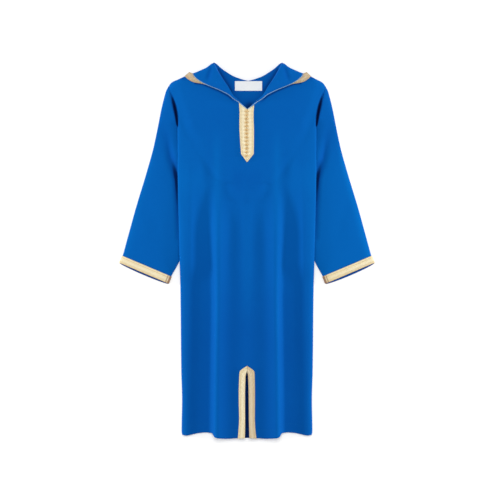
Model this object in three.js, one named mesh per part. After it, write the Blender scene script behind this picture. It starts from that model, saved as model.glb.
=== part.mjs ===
import * as THREE from 'three';

// A child's djellaba laid flat on its back, in millimetres.
// X runs across the garment, +Y towards the neck, +Z up; the origin is the middle of its outline
// on the surface it lies on. Shapes are worked out for the wearer's one side and mirrored.

// Driving sizes
const CLOTH = 1.5;              // one layer of crepe with its turnings
const BRAID = 1.2;              // flat braid sewn over the edges
const SEAM = 0.3;               // gap between sewn pieces
const BRAID_GAP = 0.4;          // clearance of the braid over the cloth's slopes
const LAYER = CLOTH + SEAM;
const SHOULDER = { x: 195.5, y: 410 };
const ARMPIT = { x: 174.5, y: 311 };
const NECK_POINT = { x: 78, y: 455 };
const NECK_BOTTOM_Y = 353;      // where the neck opening closes to the buttoned slit
const PLACKET_END_Y = 237;      // end of the buttoned slit
const HEM_SLIT_TOP_Y = -303;
const PLACKET_GAP = 0.5;        // half the slit under the knots
const HOOD_TIP_Y = 165;         // point of the hood under the back
const HOOD_SIDE = { x: 150, y: 430 };
const HOOD_FOLD_THICKNESS = 5;
const HOOD_LIFT = 5.6;          // how far the back rides up over the folded hood
const HOOD_RAMP = { start: 20, end: 58 };  // from the hood's rim out to where the back lies flat
const SLEEVE_LIFT = 7.2;        // how far the side edges ride up over the sleeves
const ARMHOLE_HEIGHT = 9;       // the sleeve's height off the surface where it is set in
const NECK_LEAN = 2.5;          // the neck sits this far to one side of the body's middle
const KNOTS = 13;
const KNOT_TOP_Y = 347.5;
const KNOT_PITCH = 9.25;
const KNOT_X = -1.2;            // the knots sit a little to one side of the slit
const KNOT_SIZE = { x: 3.5, y: 2.7, z: 2.1 };
const LABEL = { x: 1.3, y: 411, width: 69, length: 24, thickness: 1 };

// Half the width of the body, from the armpit to the hem
const SIDE_EDGE = [
  { y: 311, half: 174.5 },
  { y: 200, half: 173 },
  { y: 0, half: 168.8 },
  { y: -100, half: 166 },
  { y: -300, half: 163.8 },
  { y: -374, half: 161.8 },
  { y: -450, half: 163 },
  { y: -462, half: 161.5 },
];

// Half the width of the neck opening, down to its point
const NECK_EDGE = [
  { y: NECK_BOTTOM_Y, half: 0.6 },
  { y: 373.5, half: 20.5 },
  { y: 396, half: 44 },
  { y: 406, half: 50.5 },
  { y: 436, half: 67 },
  { y: 455, half: 78 },
];

// Half the width of the walking slit at the hem
const HEM_SLIT = [
  { y: -470, half: 5.8 },
  { y: -425, half: 4.8 },
  { y: -322, half: 4.2 },
  { y: HEM_SLIT_TOP_Y, half: 0 },
];

// The shoulder line, from the neck point to the shoulder
const SHOULDER_LINE = [
  { x: 78, y: 455 },
  { x: 92, y: 455 },
  { x: 104, y: 450.5 },
  { x: 125, y: 441.5 },
  { x: 140, y: 437.5 },
  { x: 154, y: 435.5 },
  { x: 164, y: 431.3 },
  { x: 174, y: 426.3 },
  { x: 185.4, y: 421.3 },
  { x: 191.5, y: 416.3 },
  { x: 195.5, y: 410 },
];

// The hem: the middle, between the two main folds, comes lower than the sides
const HEM_LINE = [
  { x: 0, y: -468 },
  { x: 30, y: -468.8 },
  { x: 48, y: -470 },
  { x: 72, y: -468.8 },
  { x: 81, y: -466 },
  { x: 87, y: -456.5 },
  { x: 103, y: -454.5 },
  { x: 123, y: -456.3 },
  { x: 134, y: -458.8 },
  { x: 152, y: -462 },
  { x: 162, y: -460 },
];

// The back of the neck, between the hood's two peaks
const BACK_NECK = [
  { x: 0, y: 424 },
  { x: 8.8, y: 426 },
  { x: 25.5, y: 431.3 },
  { x: 37.5, y: 436.3 },
  { x: 53.8, y: 446.3 },
  { x: 67.8, y: 456.3 },
  { x: 78.8, y: 466.3 },
  { x: 84.8, y: 470 },
];

// The hood's outline from its peak down to the shoulder
const HOOD_BROW = [
  { x: 84.8, y: 470 },
  { x: 91, y: 466.3 },
  { x: 104, y: 456.3 },
  { x: 115, y: 451.3 },
  { x: 126, y: 446.3 },
  { x: 138.8, y: 441.5 },
];

// Rows of the front and back: height at the middle line and at the side edge
const BODY_ROWS = [
  { middle: 455, side: 410 },
  { middle: 442, side: 398 },
  { middle: 428, side: 386 },
  { middle: 414, side: 373 },
  { middle: 400, side: 360 },
  { middle: 387, side: 346 },
  { middle: 373.5, side: 329 },
  { middle: NECK_BOTTOM_Y, side: 311 },
  { middle: 330, side: 290 },
  { middle: 300, side: 265 },
  { middle: 270, side: 240 },
  { middle: PLACKET_END_Y, side: 215 },
  { middle: 195, side: 180 },
  { middle: 150, side: 142 },
  { middle: 100, side: 98 },
  { middle: 50, side: 50 },
  { middle: 5, side: 5 },
  { middle: -40, side: -35 },
  { middle: -90, side: -85 },
  { middle: -150, side: -150 },
  { middle: -210, side: -210 },
  { middle: -260, side: -260 },
  { middle: HEM_SLIT_TOP_Y, side: -303 },
  { middle: -322, side: -322 },
  { middle: -365, side: -365 },
  { middle: -410, side: -410 },
  { middle: -440, side: -438 },
  { middle: -456, side: -451 },
  { middle: -468, side: -460 },
];
const NECK_ROWS = 7;            // rows from the shoulder down to the neck's point

// Columns of one half, as shares of its width; close together where the folds turn
const BODY_COLUMNS = [0, 0.07, 0.15, 0.22, 0.3, 0.38, 0.455, 0.5, 0.55, 0.62, 0.7, 0.78, 0.86, 0.92, 0.965, 1];

// Folds of the front that run up from the hem, on each side of the middle
const FOLDS = [
  { name: 'centre ridge', x: 4, inward: 17, outward: 17, height: 2 },
  { name: 'main fold', x: 79, inward: 22, outward: 11, height: 7 },
  { name: 'side fold', x: 152, inward: 12, outward: 30, height: 4.5 },
];
const PANEL_STEP = { x: 72, end: 102, height: 7 };  // the middle panel stands forward of the sides
const FOLD_FADE = { low: 60, high: 270 };
const LOFT = { skirt: 0.6, chest: 4, low: 100, high: 300 };

// Sections of a sleeve, from the armhole to the cuff
const SLEEVE_SECTIONS = [
  { outerX: 196, outerY: 410.2, innerX: 175.4, innerY: 310.4, height: 9, base: 0 },
  { outerX: 201.5, outerY: 400.5, innerX: 176, innerY: 298, height: 8.6, base: 0 },
  { outerX: 207, outerY: 382, innerX: 176, innerY: 280, height: 8, base: 0 },
  { outerX: 214.3, outerY: 352, innerX: 172.6, innerY: 250, height: 7, base: 0 },
  { outerX: 222.3, outerY: 311, innerX: 164, innerY: 220, height: 6.5, base: 0 },
  { outerX: 234, outerY: 256, innerX: 156, innerY: 175, height: 6.5, base: 0 },
  { outerX: 253, outerY: 188, innerX: 152, innerY: 115, height: 6.5, base: 0 },
  { outerX: 277, outerY: 109, innerX: 154, innerY: 45, height: 6.5, base: 0 },
  { outerX: 298, outerY: 33, innerX: 165, innerY: -16, height: 6.5, base: 0.3 },
  { outerX: 311, outerY: -13.5, innerX: 189.5, innerY: -65, height: 6.5, base: 1.9 },
  { outerX: 318.5, outerY: -30.5, innerX: 196.3, innerY: -82.5, height: 6.5, base: 1.9 },
];
const SLEEVE_STEPS = [0.03, 0.1, 0.22, 0.36, 0.5, 0.64, 0.78, 0.9, 0.97];
const SLEEVE_FOLD_Z = 1.8;      // height of the flattened sleeve's two folded edges
const CUFF_BACK_LONGER = 2.5;   // the cuff's back layer shows below the front one

// The turned-back hood beside the neck: its roll line, its free edge and the braid's outer line
const HOOD_SIDES = [
  { rollX: 18.5, rollY: 373.5, edgeX: 24, edgeY: 372.5, braidX: 25, braidY: 370.8 },
  { rollX: 30, rollY: 387, edgeX: 36, edgeY: 381, braidX: 37.2, braidY: 379.4 },
  { rollX: 38.5, rollY: 397, edgeX: 46, edgeY: 388, braidX: 46.8, braidY: 386.2 },
  { rollX: 45, rollY: 407, edgeX: 70, edgeY: 399, braidX: 70.8, braidY: 397.2 },
  { rollX: 53, rollY: 421, edgeX: 95, edgeY: 409, braidX: 95.8, braidY: 407 },
  { rollX: 61, rollY: 436, edgeX: 111, edgeY: 417, braidX: 113, braidY: 413.5 },
  { rollX: 71, rollY: 451, edgeX: 125, edgeY: 427, braidX: 136, braidY: 419.5 },
  { rollX: 79.5, rollY: 461.5, edgeX: 133, edgeY: 434.5, braidX: 149, braidY: 428 },
  { rollX: 84, rollY: 469, edgeX: 138.8, edgeY: 441, braidX: 157.5, braidY: 436 },
];
const HOOD_ROLL = { start: 4, height: 9, crest: 0.16 };
const HOOD_ROWS = Array.from({ length: 17 }, (unused, n) => n / 16);
const HOOD_STEPS = [0, 0.07, 0.16, 0.3, 0.48, 0.68, 0.86, 1];
const HOOD_BRAID_UNDER = 7;     // how far the braid runs in under the hood's free edge
const BRAID_CORNER = { x: 146.5, y: 445.5 };  // the braid's end stands up past the shoulder line
const BRAID_TURN_LIFT = 1.6;
const HOOD_EDGE_Z = 7.4;        // where the hood turns over its outline

// Side view of the folded hood's rim: two rolled layers with a groove between them
const HOOD_RIM = [
  { inset: 1.2, z: 0 },
  { inset: 0.2, z: 0.7 },
  { inset: 0, z: 2.1 },
  { inset: 1.4, z: 2.6 },
  { inset: 0.3, z: 3.1 },
  { inset: 0.4, z: 4.4 },
  { inset: 1.4, z: HOOD_FOLD_THICKNESS },
];

// Braid strips, from one end to the other: where their near edge and their far edge run
const PLACKET_STRIPS = {
  left: [
    { near: 0.4, nearY: 353, far: 21.6, farY: 370 },
    { near: 0.4, nearY: 338, far: 19.5, farY: 345 },
    { near: 0.4, nearY: 300, far: 20, farY: 300 },
    { near: 0.4, nearY: 262, far: 17.2, farY: 262 },
    { near: 0.4, nearY: 232, far: 15.2, farY: 241 },
    { near: 0.4, nearY: 221, far: 0.4, farY: 221 },
  ],
  right: [
    { near: 0.4, nearY: 353, far: 16.2, farY: 362.5 },
    { near: 0.4, nearY: 338, far: 15.6, farY: 345 },
    { near: 0.4, nearY: 300, far: 17.6, farY: 300 },
    { near: 0.4, nearY: 262, far: 17.4, farY: 262 },
    { near: 0.4, nearY: 232, far: 16.8, farY: 241 },
    { near: 0.4, nearY: 221, far: 0.4, farY: 221 },
  ],
};
const SLIT_STRIP = [
  { near: 0.3, nearY: -288, far: 0.3, farY: -288 },
  { near: 0.3, nearY: -302, far: 18.4, farY: -304 },
  { near: 4.2, nearY: -322, far: 20, farY: -326 },
  { near: 4.6, nearY: -365, far: 20.6, farY: -365 },
  { near: 4.8, nearY: -425, far: 20, farY: -420 },
  { near: 5.4, nearY: -455, far: 21.5, farY: -455 },
  { near: 5.8, nearY: -468.5, far: 23, farY: -469.5 },
];

const BLUE = { color: 0x005cb0, roughness: 0.82, metalness: 0 };
const BRAID_GOLD = { color: 0xeedcb8, roughness: 0.55, metalness: 0.1 };
const KNOT_GOLD = { color: 0xd9b77c, roughness: 0.5, metalness: 0.15 };
const LABEL_WHITE = { color: 0xf2f4f5, roughness: 0.7, metalness: 0 };

const { lerp, smoothstep, clamp } = THREE.MathUtils;

/** Value of column `of` where column `by` reaches `at`, on a smooth line through the rows. */
function follow(rows, by, of, at) {
  const rising = rows[1][by] > rows[0][by];
  const points = rising ? rows : [...rows].reverse();
  const last = points.length - 1;
  const place = clamp(at, points[0][by], points[last][by]);
  let k = 0;
  while (k < last - 1 && place > points[k + 1][by]) {
    k += 1;
  }
  const slope = (a, b) => (points[b][of] - points[a][of]) / (points[b][by] - points[a][by]);
  const chord = slope(k, k + 1);
  const calm = (next) => (chord * next <= 0 ? 0 : Math.sign(chord) * Math.min(Math.abs(chord), Math.abs(next)));
  const startSlope = k > 0 ? lerp(calm(slope(k - 1, k)), chord, 0.3) : chord;
  const endSlope = k + 1 < last ? lerp(calm(slope(k + 1, k + 2)), chord, 0.3) : chord;
  const span = points[k + 1][by] - points[k][by];
  const t = (place - points[k][by]) / span;
  const ease = t * t * (3 - 2 * t);
  const bend = t * (1 - t) * (1 - t) * span * startSlope - t * t * (1 - t) * span * endSlope;
  return lerp(points[k][of], points[k + 1][of], ease) + bend;
}

/** Rise of a soft rounded edge: 0 at the edge, 1 from `radius` inwards. */
function roundEdge(distance, radius) {
  const share = 1 - clamp(distance / radius, 0, 1);
  return Math.sqrt(1 - share * share);
}

/** Height of a flattened tube across its width, 0 at both folded edges and 1 over the middle. */
function tubeRise(v) {
  return Math.cbrt(1 - Math.abs(2 * v - 1) ** 3);
}

/** Closed geometry of the points and faces, mirrored for side -1, leaned at the neck, facing out. */
function closedBody(points, faces, side = 1) {
  const positions = new Float32Array(points.length * 3);
  points.forEach(([x, y, z], n) => {
    const lean = NECK_LEAN * smoothstep(y, 320, 400) * (1 - smoothstep(Math.abs(x), 140, 190));
    positions.set([side * x + lean, y, z], 3 * n);
  });
  const corner = (n) => new THREE.Vector3().fromArray(positions, 3 * n);
  let volume = 0;
  for (const [a, b, c] of faces) {
    volume += corner(a).dot(corner(b).cross(corner(c)));
  }
  const outward = volume > 0 ? faces : faces.map(([a, b, c]) => [a, c, b]);
  const geometry = new THREE.BufferGeometry();
  geometry.setAttribute('position', new THREE.BufferAttribute(positions, 3));
  geometry.setIndex(outward.flat());
  geometry.computeVertexNormals();
  return geometry;
}

/** A wall over plan cells of four [x, y] corners, between two heights given at each corner. */
function clothWall(cells, topOf, bottomOf, side = 1) {
  const corners = [];
  const numbers = new Map();
  const numberOf = ([x, y, ...grid]) => {
    const key = `${x.toFixed(3)} ${y.toFixed(3)}`;
    if (!numbers.has(key)) {
      numbers.set(key, corners.length);
      corners.push([x, y, ...grid]);
    }
    return numbers.get(key);
  };
  const tops = [];
  for (const cell of cells) {
    const [a, b, c, d] = cell.map(numberOf);
    for (const face of [[a, b, c], [a, c, d]]) {
      if (new Set(face).size === 3) {
        tops.push(face);
      }
    }
  }
  const count = corners.length;
  const points = [
    ...corners.map((p) => [p[0], p[1], topOf(...p)]),
    ...corners.map((p) => [p[0], p[1], bottomOf(...p)]),
  ];
  const directed = new Set(tops.flatMap(([a, b, c]) => [`${a} ${b}`, `${b} ${c}`, `${c} ${a}`]));
  const faces = [...tops, ...tops.map(([a, b, c]) => [c + count, b + count, a + count])];
  for (const [a, b, c] of tops) {
    for (const [from, to] of [[a, b], [b, c], [c, a]]) {
      if (!directed.has(`${to} ${from}`)) {
        faces.push([from, from + count, to + count], [from, to + count, to]);
      }
    }
  }
  return closedBody(points, faces, side);
}

/** Cells of a grid of plan points, row by row. */
function gridCells(rows) {
  const cells = [];
  for (let i = 0; i + 1 < rows.length; i += 1) {
    for (let j = 0; j + 1 < rows[i].length; j += 1) {
      cells.push([rows[i][j], rows[i + 1][j], rows[i + 1][j + 1], rows[i][j + 1]]);
    }
  }
  return cells;
}

/** A tube wall between matching outer and inner rings, open at both ends. */
function tubeWall(outerRings, innerRings, side) {
  const size = outerRings[0].length;
  const rings = outerRings.length;
  const points = [...outerRings.flat(), ...innerRings.flat()];
  const faces = [];
  const quad = (a, b, c, d) => faces.push([a, b, c], [a, c, d]);
  for (let j = 0; j < size; j += 1) {
    const next = (j + 1) % size;
    for (let i = 0; i + 1 < rings; i += 1) {
      const [near, far, inner] = [i * size, (i + 1) * size, rings * size];
      quad(near + j, near + next, far + next, far + j);
      quad(inner + near + j, inner + far + j, inner + far + next, inner + near + next);
    }
    const end = (rings - 1) * size;
    const inner = rings * size;
    quad(inner + j, inner + next, next, j);
    quad(end + j, end + next, inner + end + next, inner + end + j);
  }
  return closedBody(points, faces, side);
}

/** Half the width of the folded hood under the back, at height y. */
function hoodHalfWidth(y) {
  const share = clamp((y - HOOD_TIP_Y) / (HOOD_SIDE.y - HOOD_TIP_Y), 0, 1);
  return HOOD_SIDE.x * share ** 0.6;
}

/** Height of the back panel's underside over the hood and sleeves that lie beneath it. */
function layersBeneath(x, y) {
  const across = Math.abs(x);
  const beyond = y > HOOD_TIP_Y ? across - hoodHalfWidth(y) : Math.hypot(across, HOOD_TIP_Y - y);
  const hood = HOOD_LIFT * (1 - smoothstep(beyond, HOOD_RAMP.start, HOOD_RAMP.end));
  const alongSleeve = smoothstep(y, 240, 300);
  const belowSleeve = smoothstep(y, -66, -26);
  const sleeve = SLEEVE_LIFT * smoothstep(across, 116, 148) * (1 - alongSleeve) * belowSleeve;
  return hood + sleeve;
}

/** Half the width of the front or back at height y: the armhole seam, then the side seam. */
function bodyHalfWidth(y) {
  if (y >= ARMPIT.y) {
    return lerp(ARMPIT.x, SHOULDER.x, (y - ARMPIT.y) / (SHOULDER.y - ARMPIT.y));
  }
  return follow(SIDE_EDGE, 'y', 'half', y);
}

/** Height above the surface of the set-in sleeve's top layer along the armhole seam. */
function armholeHeight(y) {
  return ARMHOLE_HEIGHT * tubeRise(clamp((SHOULDER.y - y) / (SHOULDER.y - ARMPIT.y), 0, 1));
}

/** How far the front stands off the back inside its edges: loft at the chest, folds below. */
function frontFolds(across, y) {
  const fade = 1 - smoothstep(y, FOLD_FADE.low, FOLD_FADE.high);
  const spread = lerp(1, 0.94, smoothstep(y, -470, 50));
  let height = PANEL_STEP.height * (1 - smoothstep(across, PANEL_STEP.x * spread, PANEL_STEP.end * spread));
  for (const fold of FOLDS) {
    const offset = across - fold.x * spread;
    const width = offset < 0 ? fold.inward : fold.outward;
    height += fold.height * Math.exp(-((offset / width) ** 2));
  }
  return lerp(LOFT.skirt, LOFT.chest, smoothstep(y, LOFT.low, LOFT.high)) + fade * height;
}

/** Height of the front panel's outer face. */
function frontTop(x, y) {
  const across = Math.abs(x);
  const atSeam = y > ARMPIT.y ? Math.max(0, armholeHeight(y) - CLOTH - LAYER) : 0;
  const sideRound = roundEdge(bodyHalfWidth(y) - across, 14);
  const bareShoulder = smoothstep(across, 125, 165);
  const shoulderRound = lerp(1, roundEdge(follow(SHOULDER_LINE, 'x', 'y', across) - y, 16), bareShoulder);
  const relief = lerp(atSeam, frontFolds(across, y), sideRound) * shoulderRound;
  return layersBeneath(across, y) + CLOTH + LAYER + relief;
}

/** Half the width of the neck opening, buttoned slit or hem slit in a row of the front. */
function middleGap(y) {
  if (y >= NECK_BOTTOM_Y) {
    return follow(NECK_EDGE, 'y', 'half', y);
  }
  if (y > PLACKET_END_Y) {
    return PLACKET_GAP;
  }
  return y > HEM_SLIT_TOP_Y ? 0 : follow(HEM_SLIT, 'y', 'half', y);
}

/** Plan points of one half of the front, row by row from the shoulder to the hem. */
function bodyHalf() {
  const lastRow = BODY_ROWS.length - 1;
  return BODY_ROWS.map((row, k) => {
    const topShare = Math.max(0, 1 - k / NECK_ROWS) ** 2;
    const hemShare = k === lastRow ? 1 : 0.4 * (k === lastRow - 1);
    const gap = middleGap(row.middle);
    const edge = bodyHalfWidth(row.side);
    return BODY_COLUMNS.map((u) => {
      const x = lerp(gap, edge, u);
      const level = lerp(row.middle, row.side, u);
      const topBow = follow(SHOULDER_LINE, 'x', 'y', lerp(NECK_POINT.x, SHOULDER.x, u))
        - lerp(NECK_POINT.y, SHOULDER.y, u);
      const lastRowX = lerp(5.9, 161.5, u);
      const hemBow = follow(HEM_LINE, 'x', 'y', lastRowX) - lerp(-468, -460, u);
      return [x, level + topShare * topBow + hemShare * hemBow];
    });
  });
}

/** The same points on the other side of the middle line. */
function mirrorRows(rows) {
  return rows.map((row) => row.map(([x, y]) => [-x, y]).reverse());
}

/** Plan points that carry the back across the neck opening and the slits. */
function backMiddle(half) {
  const shares = [-1, -0.83, -0.62, -0.4, -0.15, 0.15, 0.4, 0.62, 0.83, 1];
  return half.map((row, k) => {
    const [gap, level] = row[0];
    const sag = Math.max(0, 1 - k / NECK_ROWS) ** 1.5;
    const inNeck = k < NECK_ROWS;
    return (inNeck ? shares : [-1, 1]).map((share) => {
      const neckline = follow(BACK_NECK, 'x', 'y', Math.abs(share) * NECK_POINT.x) - 1;
      return [share * gap, level - sag * Math.max(0, NECK_POINT.y - neckline)];
    });
  });
}

/** Cells of the back's middle, with the neck's rows brought down to the slit's single column. */
function backMiddleCells(half) {
  const rows = backMiddle(half);
  const neck = rows.slice(0, NECK_ROWS);
  const cells = [...gridCells(neck), ...gridCells(rows.slice(NECK_ROWS))];
  const above = neck[NECK_ROWS - 1];
  const [left, right] = rows[NECK_ROWS];
  const middle = above.length / 2;
  for (let j = 0; j + 1 < above.length; j += 1) {
    const below = j < middle - 1 ? left : right;
    const nextBelow = j + 1 < middle ? left : right;
    cells.push([above[j], below, nextBelow, above[j + 1]]);
  }
  return cells;
}

function frontPanel() {
  const half = bodyHalf();
  const cells = [...gridCells(mirrorRows(half)), ...gridCells(half)];
  return clothWall(cells, frontTop, (x, y) => frontTop(x, y) - CLOTH);
}

function backPanel() {
  const half = bodyHalf();
  const cells = [...gridCells(mirrorRows(half)), ...backMiddleCells(half), ...gridCells(half)];
  return clothWall(cells, (x, y) => layersBeneath(x, y) + CLOTH, layersBeneath);
}

/** One ring round a flattened sleeve, grown outwards (or inwards, below 0) from its outer face. */
function sleeveRing(section, grow, backLonger = 0) {
  const outer = new THREE.Vector2(section.outerX, section.outerY);
  const across = new THREE.Vector2(section.innerX, section.innerY).sub(outer);
  const width = across.length();
  across.normalize();
  const down = new THREE.Vector2(across.y, -across.x).multiplyScalar(backLonger);
  const point = (along, z, shift) => [
    outer.x + across.x * along - down.x * shift,
    outer.y + across.y * along - down.y * shift,
    z + section.base,
  ];
  const top = SLEEVE_STEPS.map((v) => point(v * width, section.height * tubeRise(v) + grow, 0));
  const bottom = SLEEVE_STEPS.map((v) => point(v * width, -grow, 1)).reverse();
  return [point(-grow, SLEEVE_FOLD_Z, 0), ...top, point(width + grow, SLEEVE_FOLD_Z, 0), ...bottom];
}

function sleeve(side) {
  const last = SLEEVE_SECTIONS.length - 1;
  const rings = (grow) => SLEEVE_SECTIONS.map((section, k) => (
    sleeveRing(section, grow, k === last ? CUFF_BACK_LONGER : 0)));
  return tubeWall(rings(0), rings(-CLOTH), side);
}

/** The braid band round a cuff, over the sleeve's last stretch. */
function cuffBraid(side) {
  const [above, end] = SLEEVE_SECTIONS.slice(-2);
  const rings = (grow) => [sleeveRing(above, grow), sleeveRing(end, grow)];
  return tubeWall(rings(SEAM + BRAID), rings(SEAM), side);
}

/** One row across the turned-back hood, s from 0 at the neck's point to 1 at the shoulder. */
function hoodRow(s) {
  const at = s * (HOOD_SIDES.length - 1);
  const k = Math.min(Math.floor(at), HOOD_SIDES.length - 2);
  const between = (name) => lerp(HOOD_SIDES[k][name], HOOD_SIDES[k + 1][name], at - k);
  return Object.fromEntries(Object.keys(HOOD_SIDES[0]).map((name) => [name, between(name)]));
}

/** Plan point of the turned-back hood, t from 0 at its roll line to 1 at its free edge. */
function hoodPoint(s, t) {
  const row = hoodRow(s);
  const x = lerp(row.rollX, row.edgeX, t);
  const straight = lerp(row.rollY, row.edgeY, t);
  const browSag = follow(HOOD_BROW, 'x', 'y', x) - straight;
  return [x, straight + browSag * smoothstep(s, 0.86, 1) * smoothstep(t, 0, 0.15), s, t];
}

/** Underside of the braid on the hood's edge, which stands up a little where it turns. */
function hoodBraidUnder(x, y) {
  return frontTop(x, y) + BRAID_GAP + BRAID_TURN_LIFT * smoothstep(Math.abs(x), 105, 140);
}

/** Height of the turned-back hood's outer face: it rises to the roll and falls to its free edge. */
function hoodTop(x, y, s, t) {
  const rest = hoodBraidUnder(x, y) + BRAID + SEAM + CLOTH;
  const inside = smoothstep(t, 0, HOOD_ROLL.crest);
  const outside = Math.cos(clamp((t - HOOD_ROLL.crest) / (1 - HOOD_ROLL.crest), 0, 1) * Math.PI / 2);
  const roll = lerp(HOOD_ROLL.start, HOOD_ROLL.height, smoothstep(s, 0, 0.5));
  const rolled = rest + roll * outside - (1 - inside) * (roll + 4.6);
  const turned = lerp(HOOD_EDGE_Z, rest, smoothstep(t, 0.4, 0.7));
  return lerp(turned, rolled, roundEdge(1 - s, 0.14));
}

function hoodSide(side) {
  const rows = HOOD_ROWS.map((s) => HOOD_STEPS.map((t) => hoodPoint(s, t)));
  return clothWall(gridCells(rows), hoodTop, (...p) => hoodTop(...p) - CLOTH, side);
}

/** The braid along the hood's free edge, its face showing only where it turns at the shoulder. */
function hoodBraid(side) {
  const rows = HOOD_ROWS.map((s) => {
    const row = hoodRow(s);
    const inward = new THREE.Vector2(row.rollX - row.edgeX, row.rollY - row.edgeY);
    inward.setLength(Math.min(HOOD_BRAID_UNDER, 0.6 * inward.length()));
    const turn = s < 1 ? { x: row.edgeX, y: row.edgeY } : BRAID_CORNER;
    return [
      [row.edgeX + inward.x, row.edgeY + inward.y],
      [turn.x, turn.y],
      [row.braidX, row.braidY],
    ];
  });
  return clothWall(gridCells(rows), (x, y) => hoodBraidUnder(x, y) + BRAID, hoodBraidUnder, side);
}

/** Outline of the folded hood under the back: neck, brow, side and tip, drawn on one side. */
function hoodOutline() {
  const half = [...BACK_NECK, ...HOOD_BROW.slice(1), { x: 150, y: 433 }];
  for (let y = HOOD_SIDE.y - 20; y > HOOD_TIP_Y; y -= 24) {
    half.push({ x: hoodHalfWidth(y), y });
  }
  const tip = { x: 0, y: HOOD_TIP_Y };
  const other = half.slice(1).reverse().map(({ x, y }) => ({ x: -x, y }));
  return [...half, tip, ...other].map(({ x, y }) => new THREE.Vector2(x, y));
}

/** The hood's hidden layers as one soft solid, layered at its rim. */
function hoodPouch() {
  const outline = hoodOutline();
  const size = outline.length;
  const inward = outline.map((point, k) => {
    const along = outline[(k + 1) % size].clone().sub(outline[(k + size - 1) % size]).normalize();
    return new THREE.Vector2(along.y, -along.x);
  });
  const points = HOOD_RIM.flatMap(({ inset, z }) => outline.map((point, k) => {
    const placed = point.clone().addScaledVector(inward[k], inset);
    return [placed.x, placed.y, z];
  }));
  const faces = [];
  const rings = HOOD_RIM.length;
  for (let i = 0; i + 1 < rings; i += 1) {
    for (let j = 0; j < size; j += 1) {
      const [a, b] = [i * size + j, i * size + (j + 1) % size];
      faces.push([a, b + size, b], [a, a + size, b + size]);
    }
  }
  const top = (rings - 1) * size;
  for (const [a, b, c] of THREE.ShapeUtils.triangulateShape(outline, [])) {
    const upward = THREE.ShapeUtils.area([outline[a], outline[b], outline[c]]) > 0;
    const [p, q, r] = upward ? [a, b, c] : [a, c, b];
    faces.push([top + p, top + q, top + r], [r, q, p]);
  }
  return closedBody(points, faces);
}

/** A braid strip lying on the front, from its rows of near and far edge. */
function braidStrip(rows, side) {
  const cells = gridCells(rows.map((row) => [0, 0.5, 1].map((t) => (
    [lerp(row.near, row.far, t), lerp(row.nearY, row.farY, t)]))));
  const under = (x, y) => frontTop(x, y) + BRAID_GAP;
  return clothWall(cells, (x, y) => under(x, y) + BRAID, under, side);
}

/** One corded knot of the front fastening. */
function knot(number) {
  const y = KNOT_TOP_Y - number * KNOT_PITCH;
  const ball = new THREE.SphereGeometry(1, 8, 6);
  ball.rotateX(Math.PI / 2);
  ball.scale(KNOT_SIZE.x, KNOT_SIZE.y, KNOT_SIZE.z);
  ball.translate(KNOT_X, y, frontTop(0, y) + BRAID_GAP + BRAID + SEAM + KNOT_SIZE.z);
  return ball;
}

function neckLabel() {
  const { x, y, width, length, thickness } = LABEL;
  const rows = [1, 0, -1].map((v) => [-1, 0, 1].map((u) => [x + u * width / 2, y + v * length / 2]));
  const under = (px, py) => layersBeneath(px, py) + CLOTH + SEAM;
  return clothWall(gridCells(rows), (px, py) => under(px, py) + thickness, under);
}

const djellaba = new THREE.Group();

/** Adds one named piece to the garment. */
function add(name, geometry, look) {
  const mesh = new THREE.Mesh(geometry, new THREE.MeshStandardMaterial(look));
  mesh.name = name;
  djellaba.add(mesh);
}

add('front', frontPanel(), BLUE);
add('back', backPanel(), BLUE);
add('hood_fold', hoodPouch(), BLUE);
add('neck_label', neckLabel(), LABEL_WHITE);
for (const [name, side] of [['left', -1], ['right', 1]]) {
  add(`sleeve_${name}`, sleeve(side), BLUE);
  add(`hood_${name}`, hoodSide(side), BLUE);
  add(`hood_braid_${name}`, hoodBraid(side), BRAID_GOLD);
  add(`cuff_braid_${name}`, cuffBraid(side), BRAID_GOLD);
  add(`placket_braid_${name}`, braidStrip(PLACKET_STRIPS[name], side), BRAID_GOLD);
  add(`slit_braid_${name}`, braidStrip(SLIT_STRIP, side), BRAID_GOLD);
}
for (let number = 0; number < KNOTS; number += 1) {
  add(`knot_${String(number + 1).padStart(2, '0')}`, knot(number), KNOT_GOLD);
}

export default djellaba;
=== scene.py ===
"""A child's djellaba laid flat: crepe body and sleeves, a turned-back hood, flat braid, corded knots.

Metres, +Y towards the neck, +Z up. Shapes are worked out for the side where x is positive and mirrored.
"""

from __future__ import annotations

import logging
import math
from dataclasses import dataclass, field
from enum import Enum

import bpy
import numpy as np
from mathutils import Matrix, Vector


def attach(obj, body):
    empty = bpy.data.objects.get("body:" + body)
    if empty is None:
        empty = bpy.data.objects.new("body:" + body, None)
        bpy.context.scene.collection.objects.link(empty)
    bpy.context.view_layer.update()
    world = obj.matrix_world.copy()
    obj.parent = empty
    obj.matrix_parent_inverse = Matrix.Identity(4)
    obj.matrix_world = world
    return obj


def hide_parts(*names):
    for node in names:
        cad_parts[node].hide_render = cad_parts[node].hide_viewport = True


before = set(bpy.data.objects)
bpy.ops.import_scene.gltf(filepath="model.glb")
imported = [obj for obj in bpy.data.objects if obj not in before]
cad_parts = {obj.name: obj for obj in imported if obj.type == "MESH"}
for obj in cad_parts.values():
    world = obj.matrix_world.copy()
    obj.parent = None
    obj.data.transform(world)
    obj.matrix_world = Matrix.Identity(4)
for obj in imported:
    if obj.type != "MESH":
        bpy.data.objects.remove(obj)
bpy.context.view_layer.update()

LOG = logging.getLogger("djellaba")
Array = np.ndarray
Material = bpy.types.Material
Object = bpy.types.Object
Node = bpy.types.Node
NodeTree = bpy.types.NodeTree
Socket = bpy.types.NodeSocket
Value = float | tuple[float, ...] | Socket
Colour = tuple[float, float, float]

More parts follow.
